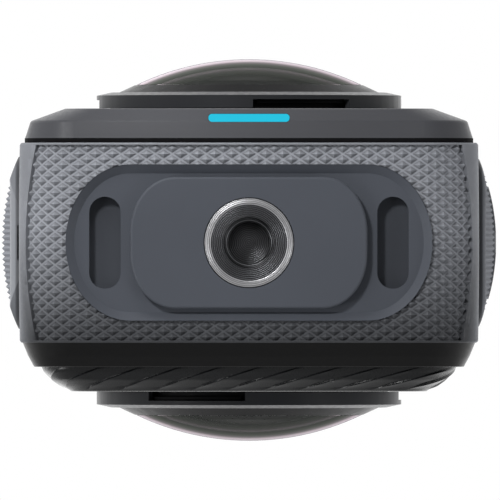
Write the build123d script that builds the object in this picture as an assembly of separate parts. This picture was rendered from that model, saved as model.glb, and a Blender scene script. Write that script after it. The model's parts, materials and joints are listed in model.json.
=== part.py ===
from build123d import *
import math
import os

# A small two lens panoramic action camera, drawn in millimetres. It stands on its mount plate at zero height.
# X runs towards the battery door, Y towards the display and Z up. The lens axes run along Y.

# Body band, a hard tube along Y with a rubber skin
HALF_WIDTH = 29.3
BAND_BOTTOM = 0.35
BAND_TOP = 69.0
BAND_FRONT = -11.8
BAND_REAR = 13.65
CORNER_RADIUS = 7.0
SKIN_THICKNESS = 1.5
BAND_CROWN = 0.12
BAND_CROWN_STEPS = 3
HOUSING_WALL = 1.6

# Diamond texture of the rubber. A raised diamond stands for a group of the real small ones
TEXTURE_LENGTH = 2.165
TEXTURE_WIDTH = 1.41
TEXTURE_GROUP = 3
TEXTURE_DEPTH = 0.42
TEXTURE_GROOVE = 0.9
TEXTURE_SIDE_MARGIN = 3.3
TEXTURE_END_MARGIN = 0.3
TEXTURE_PAD_MARGIN = 1.3

# Rear gasket and display cover
GASKET_THICKNESS = 0.58
GASKET_INSET = 0.75
GASKET_WIDTH = 2.2
COVER_SHOULDER = 2.17
COVER_BEVEL = 1.6
COVER_SIDE_INSET = 0.8
COVER_CREASE_INSET = 1.5
COVER_FACE_INSET_X = 5.9
COVER_FACE_INSET_Z = 2.9
COVER_FACE_CORNER = 4.5
COVER_WALL = 1.5
COVER_EDGE_ROUND = 0.5
GLASS_SIDE_MARGIN = 7.5
GLASS_TOP_MARGIN = 2.15
GLASS_CORNER = 2.6
GLASS_THICKNESS = 0.8
GLASS_LOWER_MARGIN = 1.6
GLASS_BORDER = 1.2
DISPLAY_THICKNESS = 1.2
LIGHT_BAR_WIDTH = 10.3
LIGHT_BAR_DEPTH = 1.0
LIGHT_BAR_HEIGHT = 1.6
LIGHT_BAR_CORNER = 0.45
LIGHT_BAR_SHARE = 0.25

# Front cover and ribbed fascia
FRONT_DEPTH = 3.07
FRONT_SIDE_INSET = 0.5
FRONT_STEP_INSET = 1.95
FRONT_MIDDLE_INSET = 1.2
FRONT_MIDDLE_SHARE = 0.55
FRONT_WALL = 1.4
FRONT_CREASE_ROUND = 2.5
FRONT_EDGE_ROUND = 0.2
FASCIA_DEPTH = 3.13
FASCIA_INSET = 2.85
FASCIA_FACE_INSET_X = 6.7
FASCIA_FACE_INSET_Z = 4.4
FASCIA_CORNER = 5.0
FASCIA_FACE_CORNER = 3.6
FASCIA_BULGE = 0.35
CAVITY_CORNER = 2.0
FASCIA_WALL = 1.5
FASCIA_EDGE_ROUND = 0.5
SLOT_LENGTH = 6.0
SLOT_WIDTH = 0.8
SLOT_PITCH = 1.8
SLOT_COUNT = 5

# Lens units, the same front and rear
LENS_DROP = 23.0
FLANGE_RADIUS = 19.6
FLANGE_THICKNESS = 0.2
SPIGOT_RADIUS = 17.5
GROOVE_RADIUS = 17.9
RIM_RADIUS = 18.75
GROOVE_HEIGHT = 0.65
RIM_HEIGHT = 0.4
RING_RADIUS = 19.65
RING_TOP_RADIUS = 17.8
RING_OPENING = 13.6
LIP_THICKNESS = 0.95
RING_CHAMFER_DROP = 0.4
SLOT_ANGLE_START = 91.5
SLOT_ANGLE = 39.5
LUG_ANGLE = 20.0
LUG_HEIGHT = 0.45
TWIST_ANGLE = 30.0
BAYONET_COUNT = 3
SEAL_RADIUS = 15.6
SEAL_THICKNESS = 0.9
SEAL_DEPTH = 0.5
DOME_RADIUS = 14.5
DOME_CURVE = 33.5
DOME_WALL = 1.0
DOME_EDGE_HEIGHT = 3.3
BEZEL_RADIUS = 16.8
BEZEL_HEIGHT = 0.95
BEZEL_LIP = 0.2
BARREL_RADIUS = 12.5
BARREL_NARROW_RADIUS = 9.5
BARREL_SHOULDER_DEPTH = 6.0
BARREL_HEIGHT = 1.9
BARREL_NOSE_RADIUS = 9.75
BARREL_NOSE_HEIGHT = 3.75
BARREL_BORE = 7.5
BARREL_THROAT = 6.0
ELEMENT_RADIUS = 9.0
ELEMENT_DOME_GAP = 0.4
ELEMENT_EDGE_HEIGHT = 3.85
ELEMENT_EDGE = 1.25
ELEMENT_HOLLOW_CURVE = 16.0
INNER_ELEMENT_EDGE = 1.2
INNER_ELEMENT_CURVE = 18.0
SENSOR_WIDTH = 8.6
SENSOR_HEIGHT = 7.0
SENSOR_THICKNESS = 1.0
SENSOR_BOARD_SIZE = 19.0
SPREADER_THICKNESS = 1.6
SPREADER_SIDE_GAP = 4.2

# Tripod socket and mount, below the body
INSERT_RADIUS = 5.77
INSERT_BODY_RADIUS = 5.2
INSERT_CHAMFER_RADIUS = 4.94
THREAD_RADIUS = 3.175
CHAMFER_DEPTH = 1.1
INSERT_DEPTH = 7.2
INSERT_FLOOR = 0.9
INSERT_HEAD = 1.1
PLATE_SIDE_MARGIN = 8.25
PLATE_WIDTH = 16.7
PLATE_CORNER_X = 5.6
PLATE_CORNER_Y = 6.9
PLATE_EDGE_ROUND = 0.3
DISH_SIDE_MARGIN = 6.0
DISH_WIDTH = 19.8
DISH_CORNER_X = 8.2
DISH_CORNER_Y = 9.85
DISH_RIM_DROP = 0.15
DISH_DEPTH = 1.35
DISH_SLOPE = 1.1
MOUNT_BASE_THICKNESS = 4.6
POCKET_LENGTH = 11.7
POCKET_WIDTH = 4.0
POCKET_SIDE_MARGIN = 5.0
POCKET_DEPTH = 1.7
KEEPER_THICKNESS = 0.6

# Side pads. The one towards positive X is the battery door
PAD_TOP_MARGIN = 11.0
PAD_WIDTH = 22.0
PAD_CORNER = 7.0
PAD_BOTTOM = 11.0
PAD_CROWN_CURVE = 27.0
PAD_LONG_CURVE = 190.0
DOOR_PROUD = 2.45
DOOR_PAD_THICKNESS = 0.9
DOOR_PAD_BORDER = 0.6
SIDE_PAD_PROUD = 1.9
SEAM_GAP = 0.35
DOOR_STANDOFF = 0.5
DOOR_PLUG_INSET_Y = 2.6
DOOR_PLUG_INSET_Z = 4.6
DOOR_PLUG_CORNER = 4.0
DOOR_PLUG_DEPTH = 1.7
DOOR_SEAL_WIDTH = 1.0
DOOR_SEAL_OFFSET = 0.5
DOOR_SEAL_THICKNESS = 0.35
HINGE_NOSE_RADIUS = 1.5
HINGE_EAR_RADIUS = 0.9
HINGE_EAR_LENGTH = 4.0
HINGE_PIN_RADIUS = 0.45
HINGE_PIN_LENGTH = 10.0
HINGE_POCKET_GAP = 0.3
LATCH_WIDTH = 7.6
LATCH_LENGTH = 6.0
LATCH_TRAVEL = 1.6
LATCH_TOP_GAP = 2.4
LATCH_RECESS = 1.0
LATCH_THICKNESS = 0.75
LATCH_CORNER = 1.4
LATCH_STEM_WIDTH = 3.6
LATCH_STEM_LENGTH = 2.0
TONGUE_WIDTH = 5.0
TONGUE_THICKNESS = 0.5
TONGUE_INSET = 0.35
LATCH_GAP = 0.12
RIDGE_COUNT = 4
RIDGE_PITCH = 1.1
RIDGE_WIDTH = 0.4
RIDGE_DEPTH = 0.25
LATCH_FRAME = 0.6

# Mode button, in the pad towards negative X
MODE_LENGTH = 14.5
MODE_HEIGHT = 6.0
MODE_RISE = 5.5
MODE_PROUD = 2.5
MODE_DEPTH = 3.1
MODE_EDGE_ROUND = 0.4
MODE_TRAVEL = 0.5
MODE_STEM_RADIUS = 1.8
MODE_STEM_LENGTH = 2.7
BUTTON_GAP = 0.15
SWITCH_GAP = 0.1

# Shutter button, on top
SHUTTER_RADIUS = 6.0
SHUTTER_PROUD = 0.7
SHUTTER_THICKNESS = 1.6
SHUTTER_EDGE_ROUND = 0.35
SHUTTER_TRAVEL = 0.5
SHUTTER_STEM_RADIUS = 2.5
SHUTTER_STEM_LENGTH = 3.2
SHUTTER_RING_WIDTH = 1.2
SHUTTER_RING_PROUD = 0.25
SWITCH_WALL = 1.4
SWITCH_FLOOR = 1.6

# Small parts on top
LAMP_LENGTH = 6.0
LAMP_WIDTH = 1.6
LAMP_OFFSET = 9.0
MIC_OFFSET = 18.0
MIC_HOLE_RADIUS = 0.5
MIC_LENGTH = 3.5
MIC_WIDTH = 2.7
MIC_HEIGHT = 1.1

# Battery, its bay and the boards
BATTERY_DEPTH = 14.0
BATTERY_CORNER = 1.2
BAY_BOTTOM = 15.4
BAY_WALL = 0.8
BAY_GAP = 0.3
BAY_MOUTH_GAP = 0.9
BAY_END_GAP = 1.3
CONTACT_THICKNESS = 1.0
CONTACT_WIDTH = 8.0
CONTACT_HEIGHT = 3.0
TAB_LENGTH = 9.0
TAB_WIDTH = 5.0
TAB_THICKNESS = 0.6
BOARD_THICKNESS = 0.8
MAIN_BOARD_SIDE_GAP = 3.2
MAIN_BOARD_TOP_GAP = 4.45
MAIN_BOARD_OFFSET = 1.4
CAN_SIZE = 14.0
CAN_HEIGHT = 1.2
SIDE_BOARD_OFFSET = 4.0
SIDE_BOARD_HEIGHT = 22.0
SIDE_BOARD_LENGTH = 12.0
PORT_WIDTH = 9.0
PORT_THICKNESS = 3.2
PORT_LENGTH = 7.3
PORT_WALL = 0.3
PORT_RISE = 10.8
CARD_LENGTH = 15.0
CARD_WIDTH = 11.0
CARD_THICKNESS = 1.0
CARD_PROUD = 0.8
CARD_TRAVEL = 0.6
CARD_GAP = 0.08
CARD_SLOT_WALL = 0.45
SPEAKER_LENGTH = 13.0
SPEAKER_WIDTH = 9.0
SPEAKER_THICKNESS = 1.4
SPEAKER_OFFSET = 12.0
SPEAKER_DROP = 11.4

# Shared clearances
FIT_GAP = 0.05
OVERRUN = 1.0

# Places worked out from the sizes above
MIDDLE = (BAND_FRONT + BAND_REAR) / 2
MID_HEIGHT = (BAND_BOTTOM + BAND_TOP) / 2
HOUSING_SIDE = HALF_WIDTH - SKIN_THICKNESS
INNER_SIDE = HOUSING_SIDE - HOUSING_WALL
HOUSING_BOTTOM = BAND_BOTTOM + SKIN_THICKNESS
HOUSING_TOP = BAND_TOP - SKIN_THICKNESS
INNER_BOTTOM = HOUSING_BOTTOM + HOUSING_WALL
INNER_TOP = HOUSING_TOP - HOUSING_WALL
GASKET_REAR = BAND_REAR + GASKET_THICKNESS
CREASE_REAR = GASKET_REAR + COVER_SHOULDER
REAR_FACE = CREASE_REAR + COVER_BEVEL
FRONT_STEP = BAND_FRONT - FRONT_DEPTH
FRONT_FACE = FRONT_STEP - FASCIA_DEPTH
LENS_HEIGHT = BAND_TOP - LENS_DROP
FLANGE_BOTTOM = LENS_HEIGHT - FLANGE_RADIUS
GLASS_BOTTOM = BAND_BOTTOM + COVER_FACE_INSET_Z + GLASS_LOWER_MARGIN
GLASS_WIDTH = 2 * (HALF_WIDTH - GLASS_SIDE_MARGIN)
GLASS_HEIGHT = FLANGE_BOTTOM - GLASS_TOP_MARGIN - GLASS_BOTTOM
SPEAKER_HEIGHT = FLANGE_BOTTOM - SPEAKER_DROP
SPREADER_REACH = INNER_SIDE - SPREADER_SIDE_GAP
DISH_LENGTH = 2 * (HALF_WIDTH - DISH_SIDE_MARGIN)
PLATE_LENGTH = DISH_LENGTH - 2 * PLATE_SIDE_MARGIN
POCKET_SPACING = DISH_LENGTH - 2 * POCKET_SIDE_MARGIN
PAD_TOP = BAND_TOP - PAD_TOP_MARGIN
PAD_LENGTH = PAD_TOP - PAD_BOTTOM
PAD_MIDDLE = (PAD_TOP + PAD_BOTTOM) / 2
MODE_CENTRE_HEIGHT = PAD_MIDDLE + MODE_RISE
SHUTTER_TOP = BAND_TOP + SHUTTER_PROUD
DOOR_CROWN = HALF_WIDTH + DOOR_PROUD
SIDE_PAD_CROWN = HALF_WIDTH + SIDE_PAD_PROUD
MODE_CROWN = HALF_WIDTH + MODE_PROUD
DOOR_INNER = HOUSING_SIDE + DOOR_STANDOFF
PLUG_INNER = DOOR_INNER - DOOR_PLUG_DEPTH
PLUG_HEIGHT = PAD_LENGTH - 2 * DOOR_PLUG_INSET_Z
PLUG_WIDTH = PAD_WIDTH - 2 * DOOR_PLUG_INSET_Y
PLUG_TOP = PAD_TOP - DOOR_PLUG_INSET_Z
HINGE_HEIGHT = PAD_BOTTOM + HINGE_NOSE_RADIUS
RIM_TOP = FLANGE_THICKNESS + GROOVE_HEIGHT + RIM_HEIGHT
LIP_BOTTOM = RIM_TOP + 2 * FIT_GAP
RING_TOP = LIP_BOTTOM + LIP_THICKNESS
BAY_TOP = LENS_HEIGHT - BARREL_RADIUS - BAY_GAP
BATTERY_BOTTOM = BAY_BOTTOM + BAY_WALL + BAY_GAP
BATTERY_HEIGHT = BAY_TOP - BAY_WALL - BAY_GAP - BATTERY_BOTTOM
PORT_CENTRE_HEIGHT = BAY_TOP + PORT_RISE
MAIN_BOARD_BOTTOM = INNER_BOTTOM + HOUSING_WALL
MAIN_BOARD_TOP = LENS_HEIGHT - BARREL_RADIUS - MAIN_BOARD_TOP_GAP
MAIN_BOARD_LENGTH = 2 * (INNER_SIDE - MAIN_BOARD_SIDE_GAP)
BATTERY_END = INNER_SIDE - BAY_MOUTH_GAP
BAY_START = BAY_END_GAP - INNER_SIDE
BATTERY_START = BAY_START + BAY_WALL + CONTACT_THICKNESS
SIDE_BOARD_FACE = MIDDLE + SIDE_BOARD_OFFSET
BOARD_DEPTH = REAR_FACE - SPREADER_THICKNESS / 2 - BOARD_THICKNESS


def crown_drop(offset, curve):
    return curve - math.sqrt(curve**2 - offset**2)


HINGE_SIDE = DOOR_CROWN - crown_drop(PAD_MIDDLE - HINGE_HEIGHT, PAD_LONG_CURVE) - HINGE_NOSE_RADIUS
DOME_APEX = DOME_EDGE_HEIGHT + crown_drop(DOME_RADIUS, DOME_CURVE)
ELEMENT_APEX = DOME_APEX - DOME_WALL - ELEMENT_DOME_GAP


# Plain shapes between two limits on each axis
def block(x_span, y_span, z_span):
    spans = (x_span, y_span, z_span)
    size = [high - low for low, high in spans]
    centre = [(high + low) / 2 for low, high in spans]
    return Pos(*centre) * Box(*size)


def around(centre, size):
    return (centre - size / 2, centre + size / 2)


def along_y(outline, start, end):
    plane = Plane(origin=(0, start, 0), x_dir=(1, 0, 0), z_dir=(0, -1, 0))
    return extrude(plane * outline, amount=start - end)


def along_x(outline, start, end):
    plane = Plane(origin=(start, 0, 0), x_dir=(0, 1, 0), z_dir=(1, 0, 0))
    return extrude(plane * outline, amount=end - start)


def along_z(outline, start, end):
    return extrude(Plane(origin=(0, 0, start)) * outline, amount=end - start)


def rod_y(radius, x, z, start, end):
    return along_y(Pos(x, z) * Circle(radius), start, end)


def rod_x(radius, y, z, start, end):
    return along_x(Pos(y, z) * Circle(radius), start, end)


def rod_z(radius, x, y, start, end):
    return along_z(Pos(x, y) * Circle(radius), start, end)


# Outline of the body seen from the front, drawn in by an inset on each side
def body_outline(inset_x, inset_z=None, corner=None):
    if inset_z is None:
        inset_z = inset_x
    if corner is None:
        corner = CORNER_RADIUS - inset_x
    width = 2 * (HALF_WIDTH - inset_x)
    height = BAND_TOP - BAND_BOTTOM - 2 * inset_z
    return Pos(0, MID_HEIGHT) * RectangleRounded(width, height, corner)


def body_slice(y, inset_x, inset_z=None, corner=None):
    plane = Plane(origin=(0, y, 0), x_dir=(1, 0, 0), z_dir=(0, -1, 0))
    return plane * body_outline(inset_x, inset_z, corner)


# Rounded outline whose corners are quarter ellipses
def soft_outline(length, width, corner_x, corner_y):
    x = length / 2 - corner_x
    y = width / 2 - corner_y
    corners = [(x, y, 0), (-x, y, 90), (-x, -y, 180), (x, -y, 270)]
    arcs = [EllipticalCenterArc((cx, cy), corner_x, corner_y, start, arc_size=90) for cx, cy, start in corners]
    lines = [Line(arcs[i] @ 1, arcs[(i + 1) % len(arcs)] @ 0) for i in range(len(arcs))]
    return Pos(0, MIDDLE) * make_face(Curve() + arcs + lines)


def pad_outline(growth=0):
    outline = RectangleRounded(PAD_WIDTH + 2 * growth, PAD_LENGTH + 2 * growth, PAD_CORNER + growth)
    return Pos(MIDDLE, PAD_MIDDLE) * outline


def plug_outline(growth=0):
    outline = RectangleRounded(PLUG_WIDTH + 2 * growth, PLUG_HEIGHT + 2 * growth, DOOR_PLUG_CORNER + growth)
    return Pos(MIDDLE, PAD_MIDDLE) * outline


def mode_outline(growth=0):
    outline = SlotOverall(MODE_LENGTH + 2 * growth, MODE_HEIGHT + 2 * growth)
    return Pos(MIDDLE, MODE_CENTRE_HEIGHT) * outline


# Space under a pad's outer face, rounded across and gently along
def crown_space(crown, lift=0):
    across = rod_z(PAD_CROWN_CURVE, crown - PAD_CROWN_CURVE, MIDDLE, BAND_BOTTOM, BAND_TOP)
    along = rod_y(PAD_LONG_CURVE, crown - PAD_LONG_CURVE, PAD_MIDDLE, BAND_FRONT, BAND_REAR)
    return Pos(lift, 0, 0) * (across & along)


# Housing and skin
def make_housing():
    tube = along_y(body_outline(SKIN_THICKNESS), BAND_FRONT, BAND_REAR)
    tube -= along_y(body_outline(SKIN_THICKNESS + HOUSING_WALL), BAND_FRONT - OVERRUN, BAND_REAR + OVERRUN)
    tube -= along_x(plug_outline(SEAM_GAP), INNER_SIDE - OVERRUN, HALF_WIDTH)
    pocket_radius = HINGE_NOSE_RADIUS + HINGE_POCKET_GAP
    pocket = rod_y(pocket_radius, HINGE_SIDE, HINGE_HEIGHT, *around(MIDDLE, PAD_WIDTH + 2 * SEAM_GAP))
    tube -= pocket
    tube += make_hinge_ear()
    tube -= rod_y(HINGE_PIN_RADIUS, HINGE_SIDE, HINGE_HEIGHT, BAND_FRONT, BAND_REAR)
    tube -= keeper_slot()
    tube -= rod_x(MODE_STEM_RADIUS + BUTTON_GAP, MIDDLE, MODE_CENTRE_HEIGHT, -HALF_WIDTH, OVERRUN - INNER_SIDE)
    tube -= rod_z(SHUTTER_STEM_RADIUS + BUTTON_GAP, 0, MIDDLE, INNER_TOP - OVERRUN, BAND_TOP)
    for side in (-1, 1):
        tube -= rod_z(MIC_HOLE_RADIUS, side * MIC_OFFSET, MIDDLE, INNER_TOP - OVERRUN, BAND_TOP)
    mount_hole = soft_outline(
        DISH_LENGTH + 2 * FIT_GAP,
        DISH_WIDTH + 2 * FIT_GAP,
        DISH_CORNER_X + FIT_GAP,
        DISH_CORNER_Y + FIT_GAP,
    )
    return tube - along_z(mount_hole, 0, INNER_BOTTOM + OVERRUN)


def make_hinge_ear():
    ear_span = around(MIDDLE, HINGE_EAR_LENGTH)
    ear = rod_y(HINGE_EAR_RADIUS, HINGE_SIDE, HINGE_HEIGHT, *ear_span)
    neck_low = INNER_SIDE + HOUSING_WALL / 4
    neck_half = HINGE_EAR_RADIUS / 2
    return ear + block((neck_low, HINGE_SIDE), ear_span, around(HINGE_HEIGHT, 2 * neck_half))


def keeper_slot():
    x_low = PLUG_INNER + TONGUE_INSET - LATCH_GAP
    x_high = PLUG_INNER + TONGUE_INSET + TONGUE_THICKNESS + LATCH_GAP
    z_high = PLUG_TOP + LATCH_TRAVEL + LATCH_GAP
    return block((x_low, x_high), around(MIDDLE, TONGUE_WIDTH + 2 * LATCH_GAP), (PLUG_TOP, z_high))


def band_inset(share):
    return BAND_CROWN * share**2


def band_shape(depth=0):
    half = (BAND_REAR - BAND_FRONT) / 2
    shares = [i / BAND_CROWN_STEPS for i in range(-BAND_CROWN_STEPS, BAND_CROWN_STEPS + 1)]
    return loft([body_slice(MIDDLE + share * half, depth + band_inset(share)) for share in shares], ruled=True)


# Raised diamonds on a lattice, drawn about the middle of a zone
def diamond_cells(zone_length, zone_width, centre, upright=False):
    length = TEXTURE_GROUP * TEXTURE_LENGTH
    width = TEXTURE_GROUP * TEXTURE_WIDTH
    share = 1 - TEXTURE_GROOVE * math.hypot(length, width) / (length * width)
    right, up = share * length / 2, share * width / 2
    diamond = make_face(Polyline((right, 0), (0, up), (-right, 0), (0, -up), close=True))
    columns = math.ceil(zone_length / length)
    rows = math.ceil(zone_width / width)
    cells = []
    for i in range(-columns, columns + 1):
        for j in range(-rows, rows + 1):
            if (i + j) % 2 == 0:
                cells.append(Pos(i * length / 2, j * width / 2) * diamond)
    turn = 90 if upright else 0
    return [Pos(*centre) * Rot(0, 0, turn) * cell for cell in cells]


def band_grooves():
    length = 2 * (HALF_WIDTH - TEXTURE_SIDE_MARGIN)
    width = BAND_REAR - BAND_FRONT - 2 * TEXTURE_END_MARGIN
    network = Pos(0, MIDDLE) * Rectangle(length, width)
    network -= diamond_cells(length, width, (0, MIDDLE))
    reach = CORNER_RADIUS / 2
    core = band_shape(TEXTURE_DEPTH)
    below = along_z(network, BAND_BOTTOM - OVERRUN, BAND_BOTTOM + reach) - core
    above = along_z(network, BAND_TOP - reach, BAND_TOP + OVERRUN) - core
    return below, above


def pad_grooves(crown, zone):
    network = zone - diamond_cells(PAD_LENGTH, PAD_WIDTH, (MIDDLE, PAD_MIDDLE), upright=True)
    return along_x(network, HOUSING_SIDE, crown + OVERRUN) - crown_space(crown, -TEXTURE_DEPTH)


def make_grip_skin():
    skin = band_shape()
    for grooves in band_grooves():
        skin -= grooves
    skin -= along_y(body_outline(SKIN_THICKNESS), BAND_FRONT - OVERRUN, BAND_REAR + OVERRUN)
    skin -= along_x(pad_outline(SEAM_GAP), -HALF_WIDTH - OVERRUN, -HOUSING_SIDE)
    skin -= along_x(pad_outline(SEAM_GAP), HOUSING_SIDE, HALF_WIDTH + OVERRUN)
    skin -= hinge_relief()
    mount_hole = soft_outline(
        DISH_LENGTH + 2 * FIT_GAP,
        DISH_WIDTH + 2 * FIT_GAP,
        DISH_CORNER_X + FIT_GAP,
        DISH_CORNER_Y + FIT_GAP,
    )
    skin -= along_z(mount_hole, 0, HOUSING_BOTTOM + OVERRUN)
    ring_radius = SHUTTER_RADIUS + BUTTON_GAP + SHUTTER_RING_WIDTH + FIT_GAP
    skin -= rod_z(ring_radius, 0, MIDDLE, HOUSING_TOP, BAND_TOP + OVERRUN)
    skin -= along_z(lamp_outline(FIT_GAP), HOUSING_TOP, BAND_TOP + OVERRUN)
    for side in (-1, 1):
        skin -= rod_z(MIC_HOLE_RADIUS, side * MIC_OFFSET, MIDDLE, HOUSING_TOP, BAND_TOP + OVERRUN)
    return skin


# Room for the door's lower corners as they turn about the hinge
def hinge_relief():
    corner_drop = PAD_CORNER - HINGE_NOSE_RADIUS * 3 / 2
    door_half = PAD_WIDTH / 2 - PAD_CORNER + math.sqrt(PAD_CORNER**2 - corner_drop**2)
    relief_span = around(MIDDLE, 2 * (door_half + SEAM_GAP))
    return rod_y(HINGE_NOSE_RADIUS + SEAM_GAP, HINGE_SIDE, HINGE_HEIGHT, *relief_span)


def lamp_outline(growth=0):
    outline = SlotOverall(LAMP_LENGTH + 2 * growth, LAMP_WIDTH + 2 * growth)
    return Pos(0, MIDDLE - LAMP_OFFSET) * outline


def make_status_lamp():
    share = 2 * LAMP_OFFSET / (BAND_REAR - BAND_FRONT)
    return along_z(lamp_outline(), HOUSING_TOP, BAND_TOP - band_inset(share))


# Display side
def make_rear_gasket():
    ring = along_y(body_outline(GASKET_INSET), BAND_REAR, GASKET_REAR)
    return ring - along_y(body_outline(GASKET_INSET + GASKET_WIDTH), BAND_REAR - OVERRUN, GASKET_REAR + OVERRUN)


def glass_outline(growth=0):
    centre = GLASS_BOTTOM + GLASS_HEIGHT / 2
    outline = RectangleRounded(GLASS_WIDTH + 2 * growth, GLASS_HEIGHT + 2 * growth, GLASS_CORNER + growth)
    return Pos(0, centre) * outline


def light_bar_window(growth=0):
    centre = CREASE_REAR + COVER_BEVEL * LIGHT_BAR_SHARE
    length = LIGHT_BAR_WIDTH + 2 * growth
    depth = LIGHT_BAR_DEPTH + 2 * growth
    return Pos(0, centre) * RectangleRounded(length, depth, LIGHT_BAR_CORNER + growth)


def display_cover_outside():
    stations = [
        (GASKET_REAR, COVER_SIDE_INSET),
        (CREASE_REAR, COVER_CREASE_INSET),
        (REAR_FACE, COVER_FACE_INSET_X, COVER_FACE_INSET_Z, COVER_FACE_CORNER),
    ]
    outside = loft([body_slice(*station) for station in stations], ruled=True)
    levels = outside.edges().group_by(Axis.Y)
    crease = levels[len(levels) // 2]
    return fillet(crease + levels[-1], COVER_EDGE_ROUND)


def make_display_cover():
    cover = display_cover_outside()
    cavity_rear = REAR_FACE - COVER_WALL
    cavity = body_outline(COVER_FACE_INSET_X, COVER_FACE_INSET_X, CAVITY_CORNER)
    cover -= along_y(cavity, GASKET_REAR - OVERRUN, cavity_rear)
    cover -= rod_y(SPIGOT_RADIUS + FIT_GAP, 0, LENS_HEIGHT, GASKET_REAR, REAR_FACE + OVERRUN)
    cover -= along_y(glass_outline(FIT_GAP), REAR_FACE - GLASS_THICKNESS, REAR_FACE + OVERRUN)
    cover -= along_y(glass_outline(-GLASS_BORDER), GASKET_REAR, REAR_FACE + OVERRUN)
    return cover - along_z(light_bar_window(FIT_GAP), 0, BAND_BOTTOM + COVER_FACE_INSET_Z + LIGHT_BAR_HEIGHT)


def make_display_glass():
    return along_y(glass_outline(), REAR_FACE - GLASS_THICKNESS, REAR_FACE)


def make_display_module():
    module_rear = REAR_FACE - GLASS_THICKNESS
    return along_y(glass_outline(-GLASS_BORDER - FIT_GAP), module_rear - DISPLAY_THICKNESS, module_rear)


def make_status_light_bar():
    bar = along_z(light_bar_window(), 0, BAND_BOTTOM + COVER_FACE_INSET_Z + LIGHT_BAR_HEIGHT)
    return bar & display_cover_outside()


# Front side
def make_front_cover():
    stations = [
        (BAND_FRONT, FRONT_SIDE_INSET),
        (BAND_FRONT - FRONT_DEPTH * FRONT_MIDDLE_SHARE, FRONT_MIDDLE_INSET),
        (FRONT_STEP, FRONT_STEP_INSET),
    ]
    cover = loft([body_slice(y, inset) for y, inset in stations], ruled=True)
    levels = cover.edges().group_by(Axis.Y)
    cover = fillet(levels[len(levels) // 2], FRONT_CREASE_ROUND)
    cover = fillet(cover.edges().group_by(Axis.Y)[0], FRONT_EDGE_ROUND)
    cavity_inset = SKIN_THICKNESS + HOUSING_WALL
    cover -= along_y(body_outline(cavity_inset), FRONT_STEP + FRONT_WALL, BAND_FRONT + OVERRUN)
    return cover - rod_y(BARREL_RADIUS + FIT_GAP, 0, LENS_HEIGHT, FRONT_STEP - OVERRUN, BAND_FRONT)


def make_front_fascia():
    base = (FRONT_STEP, FASCIA_INSET, FASCIA_INSET, FASCIA_CORNER)
    face = (FRONT_FACE, FASCIA_FACE_INSET_X, FASCIA_FACE_INSET_Z, FASCIA_FACE_CORNER)
    halfway = [(low + high) / 2 for low, high in zip(base, face)]
    bulge = (0, FASCIA_BULGE, FASCIA_BULGE, 0)
    stations = [base, [value - step for value, step in zip(halfway, bulge)], face]
    fascia = loft([body_slice(*station) for station in stations], ruled=True)
    fascia = fillet(fascia.edges().group_by(Axis.Y)[0], FASCIA_EDGE_ROUND)
    cavity_inset = FASCIA_FACE_INSET_X + FASCIA_WALL
    cavity = body_outline(cavity_inset, cavity_inset, CAVITY_CORNER)
    fascia -= along_y(cavity, FRONT_FACE + FASCIA_WALL, FRONT_STEP + OVERRUN)
    fascia -= rod_y(SPIGOT_RADIUS + FIT_GAP, 0, LENS_HEIGHT, FRONT_FACE - OVERRUN, FRONT_STEP)
    for i in range(SLOT_COUNT):
        x = (i - (SLOT_COUNT - 1) / 2) * SLOT_PITCH - SPEAKER_OFFSET
        slot = Pos(x, SPEAKER_HEIGHT) * SlotOverall(SLOT_LENGTH, SLOT_WIDTH, rotation=90)
        fascia -= along_y(slot, FRONT_FACE - OVERRUN, FRONT_STEP)
    return fascia


def make_speaker():
    outline = Pos(-SPEAKER_OFFSET, SPEAKER_HEIGHT) * RectangleRounded(SPEAKER_LENGTH, SPEAKER_WIDTH, FASCIA_WALL)
    return along_y(outline, FRONT_STEP - SPEAKER_THICKNESS, FRONT_STEP)


# Lens units, drawn about local Z with the body's face at zero, then placed on the rear or the front
def turned(points):
    outline = Polyline(*[(radius, 0, z) for radius, z in points], close=True)
    return revolve(make_face(outline), axis=Axis.Z)


def dome_arc(apex, curve, radius):
    half = radius / 2
    middle = (half, 0, apex - crown_drop(half, curve))
    return ThreePointArc((0, 0, apex), middle, (radius, 0, apex - crown_drop(radius, curve)))


def turned_lens(upper, lower, outer_edge):
    axis_line = Line(upper @ 0, lower @ 0)
    return revolve(make_face(Curve() + [upper, lower, axis_line] + outer_edge), axis=Axis.Z)


def sector(radius, start_angle, angle, bottom, top):
    slice_face = make_face(
        Curve()
        + [
            Line((0, 0), CenterArc((0, 0), radius, start_angle, angle) @ 0),
            CenterArc((0, 0), radius, start_angle, angle),
            Line(CenterArc((0, 0), radius, start_angle, angle) @ 1, (0, 0)),
        ]
    )
    return along_z(slice_face, bottom, top)


def bayonet_angles(start):
    return [start + i * 360 / BAYONET_COUNT for i in range(BAYONET_COUNT)]


LUG_START = SLOT_ANGLE_START + SLOT_ANGLE + (360 / BAYONET_COUNT - SLOT_ANGLE - LUG_ANGLE) / 2
NOTCH_START = LUG_START + TWIST_ANGLE


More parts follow.
